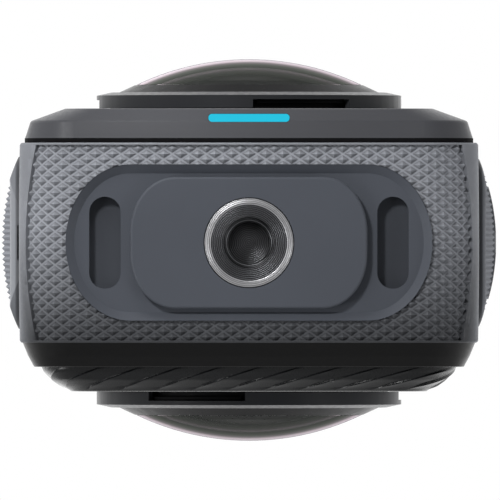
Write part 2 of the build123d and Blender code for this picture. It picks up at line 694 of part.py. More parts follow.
def make_lens_mount():
    groove_top = FLANGE_THICKNESS + GROOVE_HEIGHT
    opening = BARREL_RADIUS + FIT_GAP
    mount = turned(
        [
            (opening, -COVER_WALL),
            (SPIGOT_RADIUS, -COVER_WALL),
            (SPIGOT_RADIUS, 0),
            (FLANGE_RADIUS, 0),
            (FLANGE_RADIUS, FLANGE_THICKNESS),
            (GROOVE_RADIUS, FLANGE_THICKNESS),
            (GROOVE_RADIUS, groove_top),
            (RIM_RADIUS, groove_top),
            (RIM_RADIUS, RIM_TOP),
            (opening, RIM_TOP),
        ]
    )
    seal_bottom = RIM_TOP - SEAL_DEPTH
    mount -= turned(
        [
            (SEAL_RADIUS - SEAL_THICKNESS / 2, seal_bottom),
            (SEAL_RADIUS + SEAL_THICKNESS / 2, seal_bottom),
            (SEAL_RADIUS + SEAL_THICKNESS / 2, RIM_TOP + OVERRUN),
            (SEAL_RADIUS - SEAL_THICKNESS / 2, RIM_TOP + OVERRUN),
        ]
    )
    ring_space = Circle(RING_RADIUS + OVERRUN) - Circle(GROOVE_RADIUS)
    ring_space = along_z(ring_space, groove_top, RIM_TOP + OVERRUN)
    for start in bayonet_angles(NOTCH_START - LUG_ANGLE / 10):
        notch = sector(RING_RADIUS + OVERRUN, start, LUG_ANGLE * 6 / 5, groove_top, RIM_TOP + OVERRUN)
        mount -= notch & ring_space
    return mount


def make_lens_seal():
    seal_bottom = RIM_TOP - SEAL_DEPTH
    inner = SEAL_RADIUS - SEAL_THICKNESS / 2
    outer = SEAL_RADIUS + SEAL_THICKNESS / 2
    seal_top = RIM_TOP - FIT_GAP
    return turned([(inner, seal_bottom), (outer, seal_bottom), (outer, seal_top), (inner, seal_top)])


def make_cover_ring():
    skirt_bottom = FLANGE_THICKNESS + FIT_GAP
    skirt_inner = RIM_RADIUS + FIT_GAP
    dome_bottom = DOME_EDGE_HEIGHT - dome_edge_thickness()
    ring = turned(
        [
            (RING_OPENING, LIP_BOTTOM),
            (skirt_inner, LIP_BOTTOM),
            (skirt_inner, skirt_bottom),
            (RING_RADIUS, skirt_bottom),
            (RING_RADIUS, RING_TOP - RING_CHAMFER_DROP),
            (RING_TOP_RADIUS, RING_TOP),
            (DOME_RADIUS + FIT_GAP, RING_TOP),
            (DOME_RADIUS + FIT_GAP, dome_bottom),
            (RING_OPENING, dome_bottom),
        ]
    )
    for start in bayonet_angles(SLOT_ANGLE_START):
        ring -= sector(RING_RADIUS + OVERRUN, start, SLOT_ANGLE, 0, LIP_BOTTOM)
    lug_bottom = skirt_bottom + FIT_GAP
    lug_ring = Circle(skirt_inner + FIT_GAP) - Circle(GROOVE_RADIUS + FIT_GAP)
    lug_ring = along_z(lug_ring, lug_bottom, lug_bottom + LUG_HEIGHT)
    for start in bayonet_angles(LUG_START):
        ring += sector(RING_RADIUS, start, LUG_ANGLE, lug_bottom, lug_bottom + LUG_HEIGHT) & lug_ring
    return ring


def make_cover_bezel():
    inner = DOME_RADIUS + FIT_GAP
    return turned(
        [
            (inner, RING_TOP),
            (BEZEL_RADIUS, RING_TOP),
            (inner + BEZEL_LIP, RING_TOP + BEZEL_HEIGHT),
            (inner, RING_TOP + BEZEL_HEIGHT),
        ]
    )


def dome_edge_thickness():
    outer_drop = crown_drop(DOME_RADIUS, DOME_CURVE)
    inner_drop = crown_drop(DOME_RADIUS, DOME_CURVE - DOME_WALL)
    return DOME_WALL + inner_drop - outer_drop


def make_cover_glass():
    upper = dome_arc(DOME_APEX, DOME_CURVE, DOME_RADIUS)
    lower = dome_arc(DOME_APEX - DOME_WALL, DOME_CURVE - DOME_WALL, DOME_RADIUS)
    return turned_lens(upper, lower, [Line(upper @ 1, lower @ 1)])


def make_lens_barrel():
    element_seat = ELEMENT_EDGE_HEIGHT - ELEMENT_EDGE
    return turned(
        [
            (BARREL_THROAT, -BOARD_DEPTH),
            (BARREL_NARROW_RADIUS, -BOARD_DEPTH),
            (BARREL_NARROW_RADIUS, -BARREL_SHOULDER_DEPTH),
            (BARREL_RADIUS, -BARREL_SHOULDER_DEPTH),
            (BARREL_RADIUS, BARREL_HEIGHT),
            (BARREL_NOSE_RADIUS, BARREL_NOSE_HEIGHT),
            (ELEMENT_RADIUS + FIT_GAP, BARREL_NOSE_HEIGHT),
            (ELEMENT_RADIUS + FIT_GAP, element_seat),
            (BARREL_BORE, element_seat),
            (BARREL_BORE, -BARREL_SHOULDER_DEPTH),
            (BARREL_THROAT, -BARREL_SHOULDER_DEPTH),
        ]
    )


def make_fisheye_element():
    rise = ELEMENT_APEX - ELEMENT_EDGE_HEIGHT
    curve = (ELEMENT_RADIUS**2 + rise**2) / (2 * rise)
    element_seat = ELEMENT_EDGE_HEIGHT - ELEMENT_EDGE
    upper = dome_arc(ELEMENT_APEX, curve, ELEMENT_RADIUS)
    hollow_apex = element_seat + crown_drop(BARREL_BORE, ELEMENT_HOLLOW_CURVE)
    lower = dome_arc(hollow_apex, ELEMENT_HOLLOW_CURVE, BARREL_BORE)
    corner = (ELEMENT_RADIUS, 0, element_seat)
    return turned_lens(upper, lower, [Line(upper @ 1, corner), Line(corner, lower @ 1)])


def make_inner_element():
    radius = BARREL_BORE - FIT_GAP
    edge_top = INNER_ELEMENT_EDGE - BARREL_SHOULDER_DEPTH
    apex = edge_top + crown_drop(radius, INNER_ELEMENT_CURVE)
    upper = dome_arc(apex, INNER_ELEMENT_CURVE, radius)
    corner = (radius, 0, -BARREL_SHOULDER_DEPTH)
    foot = (0, 0, -BARREL_SHOULDER_DEPTH)
    lower = Line(foot, corner)
    return turned_lens(upper, lower, [Line(upper @ 1, corner)])


def make_image_sensor():
    bottom = -BOARD_DEPTH
    return block(around(0, SENSOR_WIDTH), around(0, SENSOR_HEIGHT), (bottom, bottom + SENSOR_THICKNESS))


def make_sensor_board():
    size = around(0, SENSOR_BOARD_SIZE)
    return block(size, size, (-BOARD_DEPTH - BOARD_THICKNESS, -BOARD_DEPTH))


def lens_place(side):
    face = REAR_FACE if side > 0 else FRONT_FACE
    return Plane(origin=(0, face, LENS_HEIGHT), x_dir=(side, 0, 0), z_dir=(0, side, 0))


def lens_unit(name, side):
    makers = {
        "lens_mount": make_lens_mount,
        "lens_seal": make_lens_seal,
        "lens_barrel": make_lens_barrel,
        "fisheye_element": make_fisheye_element,
        "inner_element": make_inner_element,
        "image_sensor": make_image_sensor,
        "sensor_board": make_sensor_board,
        "cover_ring": make_cover_ring,
        "cover_bezel": make_cover_bezel,
        "cover_glass": make_cover_glass,
    }
    place = lens_place(side).location
    return {name + "_" + piece: place * make() for piece, make in makers.items()}


def make_heat_spreader():
    front_board_back = FRONT_FACE + BOARD_DEPTH + BOARD_THICKNESS
    rear_board_back = REAR_FACE - BOARD_DEPTH - BOARD_THICKNESS
    z_span = (BAY_TOP, LENS_HEIGHT + SENSOR_BOARD_SIZE / 2)
    return block((-SPREADER_REACH, BARREL_NARROW_RADIUS), (front_board_back, rear_board_back), z_span)


# Tripod socket and quick release mount
def make_mount_base():
    sizes = (DISH_LENGTH, DISH_WIDTH, DISH_CORNER_X, DISH_CORNER_Y)
    rim = BAND_BOTTOM + DISH_RIM_DROP
    base = along_z(soft_outline(*sizes), rim, rim + MOUNT_BASE_THICKNESS)
    floor_sizes = (
        DISH_LENGTH - 2 * DISH_SLOPE,
        DISH_WIDTH - 2 * DISH_SLOPE,
        DISH_CORNER_X - DISH_SLOPE,
        DISH_CORNER_Y - DISH_SLOPE,
    )
    wide = Plane(origin=(0, 0, rim)) * soft_outline(*sizes)
    narrow = Plane(origin=(0, 0, DISH_DEPTH)) * soft_outline(*floor_sizes)
    base -= loft([wide, narrow], ruled=True)
    base -= rod_z(INSERT_BODY_RADIUS, 0, MIDDLE, 0, INSERT_DEPTH)
    for side in (-1, 1):
        base -= along_z(pocket_outline(side), 0, DISH_DEPTH + POCKET_DEPTH + KEEPER_THICKNESS)
    return base


def pocket_outline(side):
    outline = SlotOverall(POCKET_LENGTH, POCKET_WIDTH, rotation=90)
    return Pos(side * POCKET_SPACING / 2, MIDDLE) * outline


def make_latch_keeper(side):
    bottom = DISH_DEPTH + POCKET_DEPTH
    return along_z(pocket_outline(side), bottom, bottom + KEEPER_THICKNESS)


def make_mount_plate():
    outline = soft_outline(PLATE_LENGTH, PLATE_WIDTH, PLATE_CORNER_X, PLATE_CORNER_Y)
    plate = along_z(outline, 0, DISH_DEPTH)
    plate = fillet(plate.edges().group_by(Axis.Z)[0], PLATE_EDGE_ROUND)
    plate -= rod_z(INSERT_RADIUS, 0, MIDDLE, -OVERRUN, INSERT_HEAD)
    return plate - rod_z(INSERT_BODY_RADIUS, 0, MIDDLE, -OVERRUN, DISH_DEPTH + OVERRUN)


def make_tripod_insert():
    hole_end = INSERT_DEPTH - INSERT_FLOOR
    insert = turned(
        [
            (0, hole_end),
            (THREAD_RADIUS, hole_end),
            (THREAD_RADIUS, CHAMFER_DEPTH),
            (INSERT_CHAMFER_RADIUS, 0),
            (INSERT_RADIUS, 0),
            (INSERT_RADIUS, INSERT_HEAD),
            (INSERT_BODY_RADIUS, INSERT_HEAD),
            (INSERT_BODY_RADIUS, INSERT_DEPTH),
            (0, INSERT_DEPTH),
        ]
    )
    return Pos(0, MIDDLE, 0) * insert


# Battery door, its seal, hinge pin and sliding lock
def above_hinge():
    return block((0, DOOR_CROWN), (BAND_FRONT, BAND_REAR), (HINGE_HEIGHT, BAND_TOP))


def door_outside():
    plate = along_x(pad_outline(), DOOR_INNER, DOOR_CROWN)
    nose = rod_y(HINGE_NOSE_RADIUS, HINGE_SIDE, HINGE_HEIGHT, BAND_FRONT, BAND_REAR)
    return plate & crown_space(DOOR_CROWN) & (above_hinge() + nose)


def make_door_pad():
    pad = along_x(pad_outline(-DOOR_PAD_BORDER), DOOR_INNER, DOOR_CROWN)
    pad = pad & crown_space(DOOR_CROWN) & above_hinge()
    pad -= crown_space(DOOR_CROWN, -DOOR_PAD_THICKNESS)
    return pad - latch_recess(LATCH_FRAME) - hinge_notch()


def make_textured_door_pad():
    zone = pad_outline(-DOOR_PAD_BORDER - TEXTURE_END_MARGIN)
    return make_door_pad() - pad_grooves(DOOR_CROWN, zone)


def make_battery_door():
    door = door_outside() + along_x(plug_outline(), PLUG_INNER, DOOR_INNER)
    door -= make_door_pad()
    door -= hinge_notch()
    pin_hole = rod_y(
        HINGE_PIN_RADIUS + FIT_GAP,
        HINGE_SIDE,
        HINGE_HEIGHT,
        *around(MIDDLE, HINGE_PIN_LENGTH + 2 * FIT_GAP),
    )
    door -= pin_hole
    return door - latch_space()


def hinge_notch():
    ear_gap = 2 * LATCH_GAP
    notch_span = around(MIDDLE, HINGE_EAR_LENGTH + 2 * ear_gap)
    notch = rod_y(HINGE_EAR_RADIUS + LATCH_GAP, HINGE_SIDE, HINGE_HEIGHT, *notch_span)
    reach = 2 * HINGE_NOSE_RADIUS
    edge = HINGE_EAR_RADIUS / 2 + LATCH_GAP
    x_span = (HINGE_SIDE - reach, HINGE_SIDE + edge)
    z_span = (HINGE_HEIGHT - reach, HINGE_HEIGHT + edge)
    return notch + block(x_span, notch_span, z_span)


def latch_top():
    return PLUG_TOP - LATCH_TOP_GAP + LATCH_TRAVEL / 2


def latch_floor():
    return DOOR_CROWN - crown_drop(latch_top() - PAD_MIDDLE, PAD_LONG_CURVE) - LATCH_RECESS


def latch_recess(growth=0):
    width = LATCH_WIDTH + 2 * (LATCH_GAP + growth)
    length = LATCH_LENGTH + LATCH_TRAVEL + 2 * (LATCH_GAP + growth)
    centre = latch_top() + (LATCH_TRAVEL - LATCH_LENGTH) / 2
    outline = RectangleRounded(width, length, LATCH_CORNER + growth)
    return along_x(Pos(MIDDLE, centre) * outline, latch_floor(), DOOR_CROWN + OVERRUN)


def latch_space():
    floor = latch_floor()
    space = latch_recess()
    stem_bottom = latch_top() - LATCH_LENGTH / 2 - LATCH_STEM_LENGTH / 2
    stem_z = (stem_bottom - LATCH_GAP, stem_bottom + LATCH_STEM_LENGTH + LATCH_TRAVEL + LATCH_GAP)
    stem_y = around(MIDDLE, LATCH_STEM_WIDTH + 2 * LATCH_GAP)
    space += block((PLUG_INNER + TONGUE_INSET, floor), stem_y, stem_z)
    channel_x = (PLUG_INNER - OVERRUN, PLUG_INNER + TONGUE_INSET + TONGUE_THICKNESS + LATCH_GAP)
    channel_y = around(MIDDLE, TONGUE_WIDTH + 2 * LATCH_GAP)
    return space + block(channel_x, channel_y, (stem_bottom - LATCH_GAP, PLUG_TOP + OVERRUN))


def make_door_latch():
    floor = latch_floor()
    top = latch_top()
    outline = RectangleRounded(LATCH_WIDTH, LATCH_LENGTH, LATCH_CORNER)
    button = along_x(Pos(MIDDLE, top - LATCH_LENGTH / 2) * outline, floor + LATCH_GAP, floor + LATCH_THICKNESS)
    for i in range(RIDGE_COUNT):
        z = top - LATCH_LENGTH / 2 + (i - (RIDGE_COUNT - 1) / 2) * RIDGE_PITCH
        groove_x = (floor + LATCH_THICKNESS - RIDGE_DEPTH, floor + LATCH_THICKNESS + OVERRUN)
        button -= block(groove_x, around(MIDDLE, LATCH_WIDTH - 2 * LATCH_CORNER), around(z, RIDGE_WIDTH))
    stem_bottom = top - LATCH_LENGTH / 2 - LATCH_STEM_LENGTH / 2
    tongue_x = (PLUG_INNER + TONGUE_INSET, PLUG_INNER + TONGUE_INSET + TONGUE_THICKNESS)
    stem_z = (stem_bottom, stem_bottom + LATCH_STEM_LENGTH)
    stem = block((tongue_x[0], floor + LATCH_THICKNESS / 2), around(MIDDLE, LATCH_STEM_WIDTH), stem_z)
    tongue = block(tongue_x, around(MIDDLE, TONGUE_WIDTH), (stem_bottom, PLUG_TOP - LATCH_GAP))
    return button + stem + tongue


def make_door_seal():
    outer = plug_outline(DOOR_SEAL_OFFSET + DOOR_SEAL_WIDTH)
    ring = along_x(outer, DOOR_INNER - DOOR_SEAL_THICKNESS, DOOR_INNER)
    return ring - along_x(plug_outline(DOOR_SEAL_OFFSET), DOOR_INNER - OVERRUN, DOOR_INNER + OVERRUN)


def make_hinge_pin():
    return rod_y(HINGE_PIN_RADIUS, HINGE_SIDE, HINGE_HEIGHT, *around(MIDDLE, HINGE_PIN_LENGTH))


# Fixed pad with its mode button and switch, mirrored to negative X
def make_side_pad():
    pad = along_x(pad_outline(), HOUSING_SIDE, SIDE_PAD_CROWN) & crown_space(SIDE_PAD_CROWN)
    zone = pad_outline(-TEXTURE_PAD_MARGIN) - mode_outline(BUTTON_GAP + TEXTURE_END_MARGIN)
    pad -= pad_grooves(SIDE_PAD_CROWN, zone)
    pad -= along_x(mode_outline(BUTTON_GAP), HOUSING_SIDE - OVERRUN, SIDE_PAD_CROWN + OVERRUN)
    return mirror(pad, about=Plane.YZ)


def make_mode_button():
    cap = along_x(mode_outline(), MODE_CROWN - MODE_DEPTH, MODE_CROWN)
    cap &= crown_space(MODE_CROWN)
    cap = fillet(cap.edges().group_by(Axis.X)[-1], MODE_EDGE_ROUND)
    stem_outer = MODE_CROWN - MODE_DEPTH
    cap += rod_x(MODE_STEM_RADIUS, MIDDLE, MODE_CENTRE_HEIGHT, stem_outer - MODE_STEM_LENGTH, stem_outer)
    return mirror(cap, about=Plane.YZ)


def make_mode_switch():
    stem_end = MODE_CROWN - MODE_DEPTH - MODE_STEM_LENGTH
    pocket_floor = stem_end - MODE_TRAVEL - SWITCH_GAP
    pocket_radius = MODE_STEM_RADIUS + BUTTON_GAP
    outer = pocket_radius + SWITCH_WALL
    switch = rod_x(outer, MIDDLE, MODE_CENTRE_HEIGHT, pocket_floor - SWITCH_FLOOR, INNER_SIDE)
    switch -= rod_x(pocket_radius, MIDDLE, MODE_CENTRE_HEIGHT, pocket_floor, INNER_SIDE + OVERRUN)
    return mirror(switch, about=Plane.YZ)


# Shutter button, its ring and switch
def make_shutter_button():
    cap_bottom = SHUTTER_TOP - SHUTTER_THICKNESS
    cap = rod_z(SHUTTER_RADIUS, 0, MIDDLE, cap_bottom, SHUTTER_TOP)
    cap = fillet(cap.edges().group_by(Axis.Z)[-1], SHUTTER_EDGE_ROUND)
    return cap + rod_z(SHUTTER_STEM_RADIUS, 0, MIDDLE, cap_bottom - SHUTTER_STEM_LENGTH, cap_bottom)


def make_shutter_ring():
    inner = SHUTTER_RADIUS + BUTTON_GAP
    ring = rod_z(inner + SHUTTER_RING_WIDTH, 0, MIDDLE, HOUSING_TOP, BAND_TOP + SHUTTER_RING_PROUD)
    return ring - rod_z(inner, 0, MIDDLE, HOUSING_TOP - OVERRUN, BAND_TOP + OVERRUN)


def make_shutter_switch():
    stem_end = SHUTTER_TOP - SHUTTER_THICKNESS - SHUTTER_STEM_LENGTH
    pocket_floor = stem_end - SHUTTER_TRAVEL - SWITCH_GAP
    pocket_radius = SHUTTER_STEM_RADIUS + BUTTON_GAP
    switch = rod_z(pocket_radius + SWITCH_WALL, 0, MIDDLE, pocket_floor - SWITCH_FLOOR, INNER_TOP)
    return switch - rod_z(pocket_radius, 0, MIDDLE, pocket_floor, INNER_TOP + OVERRUN)


def make_microphone(side):
    x_span = around(side * MIC_OFFSET, MIC_LENGTH)
    return block(x_span, around(MIDDLE, MIC_WIDTH), (INNER_TOP - MIC_HEIGHT, INNER_TOP))


# Battery, its bay and the boards
def make_battery_bay():
    half_depth = BATTERY_DEPTH / 2 + BAY_GAP + BAY_WALL
    shell = block((BAY_START, INNER_SIDE), around(MIDDLE, 2 * half_depth), (BAY_BOTTOM, BAY_TOP))
    inner_y = around(MIDDLE, BATTERY_DEPTH + 2 * BAY_GAP)
    inner_z = (BAY_BOTTOM + BAY_WALL, BAY_TOP - BAY_WALL)
    return shell - block((BAY_START + BAY_WALL, INNER_SIDE + OVERRUN), inner_y, inner_z)


def make_battery():
    z_span = (BATTERY_BOTTOM, BATTERY_BOTTOM + BATTERY_HEIGHT)
    cell = block((BATTERY_START, BATTERY_END), around(MIDDLE, BATTERY_DEPTH), z_span)
    return fillet(cell.edges().filter_by(Axis.X), BATTERY_CORNER)


def make_battery_contacts():
    middle = BATTERY_BOTTOM + BATTERY_HEIGHT / 2
    x_span = (BAY_START + BAY_WALL, BATTERY_START)
    return block(x_span, around(MIDDLE, CONTACT_WIDTH), around(middle, CONTACT_HEIGHT))


def make_battery_tab():
    middle = BATTERY_BOTTOM + BATTERY_HEIGHT / 2
    outline = Pos(MIDDLE, middle) * RectangleRounded(TAB_LENGTH, TAB_WIDTH, TAB_WIDTH / 4)
    return along_x(outline, BATTERY_END, BATTERY_END + TAB_THICKNESS)


def make_main_board():
    front = BAND_FRONT + MAIN_BOARD_OFFSET
    z_span = (MAIN_BOARD_BOTTOM, MAIN_BOARD_TOP)
    return block(around(0, MAIN_BOARD_LENGTH), (front, front + BOARD_THICKNESS), z_span)


def make_processor_can():
    front = BAND_FRONT + MAIN_BOARD_OFFSET
    middle = (MAIN_BOARD_BOTTOM + MAIN_BOARD_TOP) / 2
    return block(around(0, CAN_SIZE), (front - CAN_HEIGHT, front), around(middle, CAN_SIZE))


def make_side_board():
    x_span = (INNER_SIDE - FIT_GAP - SIDE_BOARD_LENGTH, INNER_SIDE - FIT_GAP)
    y_span = (SIDE_BOARD_FACE, SIDE_BOARD_FACE + BOARD_THICKNESS)
    return block(x_span, y_span, (BAY_TOP, BAY_TOP + SIDE_BOARD_HEIGHT))


def make_data_port():
    centre_y = SIDE_BOARD_FACE - PORT_THICKNESS / 2
    place = Pos(centre_y, PORT_CENTRE_HEIGHT)
    outer = place * SlotOverall(PORT_WIDTH, PORT_THICKNESS, rotation=90)
    inner = place * SlotOverall(PORT_WIDTH - 2 * PORT_WALL, PORT_THICKNESS - 2 * PORT_WALL, rotation=90)
    shell = along_x(outer, INNER_SIDE - PORT_LENGTH, INNER_SIDE)
    shell -= along_x(inner, INNER_SIDE - PORT_LENGTH + 2 * PORT_WALL, INNER_SIDE + OVERRUN)
    tongue_y = around(centre_y, PORT_WALL * 2)
    tongue_z = around(PORT_CENTRE_HEIGHT, PORT_WIDTH * 2 / 3)
    tongue_x = (INNER_SIDE - PORT_LENGTH + PORT_WALL, INNER_SIDE - 2 * PORT_WALL)
    return shell + block(tongue_x, tongue_y, tongue_z)


def card_span():
    card_end = INNER_SIDE - FIT_GAP
    return (card_end - CARD_LENGTH, card_end)


def card_level():
    return SIDE_BOARD_FACE + BOARD_THICKNESS + CARD_SLOT_WALL + CARD_GAP


def make_card_slot():
    start, end = card_span()
    slot_width = CARD_WIDTH + 2 * (CARD_GAP + CARD_SLOT_WALL)
    slot_depth = CARD_THICKNESS + 2 * (CARD_GAP + CARD_SLOT_WALL)
    board_rear = SIDE_BOARD_FACE + BOARD_THICKNESS
    cavity_start = start - CARD_TRAVEL - CARD_GAP
    body_x = (cavity_start - CARD_SLOT_WALL, end - CARD_PROUD)
    body = block(body_x, (board_rear, board_rear + slot_depth), around(PORT_CENTRE_HEIGHT, slot_width))
    cavity_y = (card_level() - CARD_GAP, card_level() + CARD_THICKNESS + CARD_GAP)
    cavity_z = around(PORT_CENTRE_HEIGHT, CARD_WIDTH + 2 * CARD_GAP)
    return body - block((cavity_start, end), cavity_y, cavity_z)


def make_memory_card():
    y_span = (card_level(), card_level() + CARD_THICKNESS)
    card = block(card_span(), y_span, around(PORT_CENTRE_HEIGHT, CARD_WIDTH))
    return fillet(card.edges().filter_by(Axis.Y), CARD_THICKNESS / 2)


def all_nodes():
    nodes = {
        "housing": make_housing(),
        "grip_skin": make_grip_skin(),
        "status_lamp": make_status_lamp(),
        "rear_gasket": make_rear_gasket(),
        "display_cover": make_display_cover(),
        "display_glass": make_display_glass(),
        "display_module": make_display_module(),
        "status_light_bar": make_status_light_bar(),
        "front_cover": make_front_cover(),
        "front_fascia": make_front_fascia(),
        "speaker": make_speaker(),
        "heat_spreader": make_heat_spreader(),
        "mount_base": make_mount_base(),
        "mount_plate": make_mount_plate(),
        "tripod_insert": make_tripod_insert(),
        "left_latch_keeper": make_latch_keeper(-1),
        "right_latch_keeper": make_latch_keeper(1),
        "battery_door": make_battery_door(),
        "door_pad": make_textured_door_pad(),
        "door_seal": make_door_seal(),
        "door_hinge_pin": make_hinge_pin(),
        "door_latch": make_door_latch(),
        "side_pad": make_side_pad(),
        "mode_button": make_mode_button(),
        "mode_switch": make_mode_switch(),
        "shutter_button": make_shutter_button(),
        "shutter_ring": make_shutter_ring(),
        "shutter_switch": make_shutter_switch(),
        "left_microphone": make_microphone(-1),
        "right_microphone": make_microphone(1),
        "battery_bay": make_battery_bay(),
        "battery": make_battery(),
        "battery_contacts": make_battery_contacts(),
        "battery_tab": make_battery_tab(),
        "main_board": make_main_board(),
        "processor_can": make_processor_can(),
        "side_board": make_side_board(),
        "data_port": make_data_port(),
        "card_slot": make_card_slot(),
        "memory_card": make_memory_card(),
    }
    nodes.update(lens_unit("rear", 1))
    nodes.update(lens_unit("front", -1))
    return nodes


os.makedirs("parts", exist_ok=True)
for node_name, shape in all_nodes().items():
    export_step(shape, os.path.join("parts", node_name + ".step"))
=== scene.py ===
import json
import math

import bmesh
import bpy
from mathutils import Matrix, Vector


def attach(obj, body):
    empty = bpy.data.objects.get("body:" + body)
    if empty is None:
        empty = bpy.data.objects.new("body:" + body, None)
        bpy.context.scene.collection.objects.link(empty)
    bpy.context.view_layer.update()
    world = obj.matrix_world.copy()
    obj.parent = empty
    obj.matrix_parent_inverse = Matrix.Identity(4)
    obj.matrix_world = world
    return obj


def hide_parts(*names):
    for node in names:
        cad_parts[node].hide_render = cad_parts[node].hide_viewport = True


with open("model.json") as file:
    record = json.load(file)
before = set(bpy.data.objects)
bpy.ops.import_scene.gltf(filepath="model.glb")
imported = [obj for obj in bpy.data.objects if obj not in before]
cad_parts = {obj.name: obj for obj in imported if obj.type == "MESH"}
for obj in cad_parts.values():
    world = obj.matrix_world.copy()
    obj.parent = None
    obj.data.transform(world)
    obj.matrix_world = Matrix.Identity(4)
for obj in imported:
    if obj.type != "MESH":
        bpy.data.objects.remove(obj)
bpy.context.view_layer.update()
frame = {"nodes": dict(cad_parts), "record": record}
nodes = frame["nodes"]

MM = 0.001
TINY = 1e-7
SLIVER = 1e-5
WELD = 2e-6
DIGITS = 4

# Sizes shared with the solids, in millimetres
MIDDLE = 0.925
HALF_WIDTH = 29.3
BAND_BOTTOM = 0.35
BAND_TOP = 69.0
BAND_FRONT = -11.8
BAND_REAR = 13.65
BAND_HALF_DEPTH = (BAND_REAR - BAND_FRONT) / 2
CORNER = 7.0
SKIN = 1.5
CROWN_INSET = 0.12
PAD_CENTRE = 34.5
LENS_HEIGHT = 46.0

# Diamond texture
CELL_LENGTH = 2.165
CELL_DEPTH = 1.41
LINE_WIDTH = 0.23
PEAK = 0.55

# Tones of the rubber, as shares of its lightest colour; the knurl's flat lines and the tops of its pyramids
# are painted lighter, a painted highlight
LINE_PAINTED_HIGHLIGHT = 0.92
FACE_TONE = 0.56
APEX_PAINTED_HIGHLIGHT = 0.92
PLAIN_TONE = 0.6
WALL_TONE = 0.6

# Height in the flat pattern of a pad that stands for its foot
PAD_FOOT = -3.0


# Flat polygons of (u, v, height), cut by the edges of convex outlines
def half_planes(outline):
    planes = []
    for (x0, y0), (x1, y1) in zip(outline, outline[1:] + outline[:1]):
        nx, ny = y1 - y0, x0 - x1
        length = math.hypot(nx, ny)
        if length > TINY:
            planes.append((nx / length, ny / length, (nx * x0 + ny * y0) / length))
    return planes


def cut(polygon, plane, keep_inside=True):
    nx, ny, limit = plane
    sign = 1 if keep_inside else -1
    kept = []
    for a, b in zip(polygon, polygon[1:] + polygon[:1]):
        da = sign * (nx * a[0] + ny * a[1] - limit)
        db = sign * (nx * b[0] + ny * b[1] - limit)
        if da <= TINY:
            kept.append(a)
        if (da < -TINY and db > TINY) or (da > TINY and db < -TINY):
            t = da / (da - db)
            kept.append(tuple(p + (q - p) * t for p, q in zip(a, b)))
    return kept if area(kept) > SLIVER else []


def area(polygon):
    pairs = zip(polygon, polygon[1:] + polygon[:1])
    return abs(sum(a[0] * b[1] - b[0] * a[1] for a, b in pairs)) / 2


def inside(polygon, planes):
    for plane in planes:
        polygon = cut(polygon, plane)
        if not polygon:
            return []
    return polygon


def outside(polygons, planes):
    left = []
    for polygon in polygons:
        if not inside(polygon, planes):
            left.append(polygon)
            continue
        rest = polygon
        for plane in planes:
            piece = cut(rest, plane, keep_inside=False)
            if piece:
                left.append(piece)
            rest = cut(rest, plane)
            if not rest:
                break
    return left


def rounded_outline(width, height, corner, centre, steps, corner_y=None):
    corner_y = corner_y or corner
    points = []
    for sx, sy, start in ((1, 1, 0), (-1, 1, 90), (-1, -1, 180), (1, -1, 270)):
        cx = centre[0] + sx * (width / 2 - corner)
        cy = centre[1] + sy * (height / 2 - corner_y)
        for i in range(steps + 1):
            angle = math.radians(start + 90 * i / steps)
            points.append((cx + corner * math.cos(angle), cy + corner_y * math.sin(angle)))
    return points


def circle_outline(radius, centre, steps):
    angles = [2 * math.pi * i / steps for i in range(steps)]
    return [(centre[0] + radius * math.cos(a), centre[1] + radius * math.sin(a)) for a in angles]


def half_steps(low, high, middle, size):
    return range(math.floor((low - middle) / size) * 2 - 1, math.ceil((high - middle) / size) * 2 + 2)


# Four sided pyramids, their tops at height 0, with flat lines between them
def diamonds(u_low, u_high, v_low, v_high, size_u, size_v, centre):
    faces = []
    shrink = 1 - LINE_WIDTH / (size_u * size_v / math.hypot(size_u, size_v))
    for i in half_steps(u_low, u_high, centre[0], size_u):
        for j in half_steps(v_low, v_high, centre[1], size_v):
            if (i + j) % 2:
                continue
            u, v = centre[0] + i * size_u / 2, centre[1] + j * size_v / 2
            outer = [(u + size_u / 2, v), (u, v + size_v / 2), (u - size_u / 2, v), (u, v - size_v / 2)]
            inner = [(u + (p - u) * shrink, v + (q - v) * shrink) for p, q in outer]
            for k in range(4):
                a, b, c, d = outer[k], outer[k - 3], inner[k - 3], inner[k]
                faces.append([(*a, -PEAK), (*b, -PEAK), (*c, -PEAK), (*d, -PEAK)])
                faces.append([(*d, -PEAK), (*c, -PEAK), (u, v, 0.0)])
    return faces


def tiles(u_stops, v_stops):
    faces = []
    for u0, u1 in zip(u_stops, u_stops[1:]):
        for v0, v1 in zip(v_stops, v_stops[1:]):
            faces.append([(u0, v0, 0.0), (u1, v0, 0.0), (u1, v1, 0.0), (u0, v1, 0.0)])
    return faces


def strips(outlines, heights):
    faces = []
    for (lower, h0), (upper, h1) in zip(zip(outlines, heights), zip(outlines[1:], heights[1:])):
        for i in range(len(lower)):
            a, b, c, d = lower[i - 1], lower[i], upper[i], upper[i - 1]
            faces.append([(*a, h0), (*b, h0), (*c, h1), (*d, h1)])
    return faces


# Tones for the corners of one flat polygon, from their heights; on the knurl the flat lines and the pyramids'
# tops get painted highlights
def even_tones(heights):
    return [PLAIN_TONE for height in heights]


def knurl_painted_highlights(heights):
    if max(heights) < TINY - PEAK:
        return [LINE_PAINTED_HIGHLIGHT for height in heights]
    return [FACE_TONE + (APEX_PAINTED_HIGHLIGHT - FACE_TONE) * (1 + height / PEAK) ** 2 for height in heights]


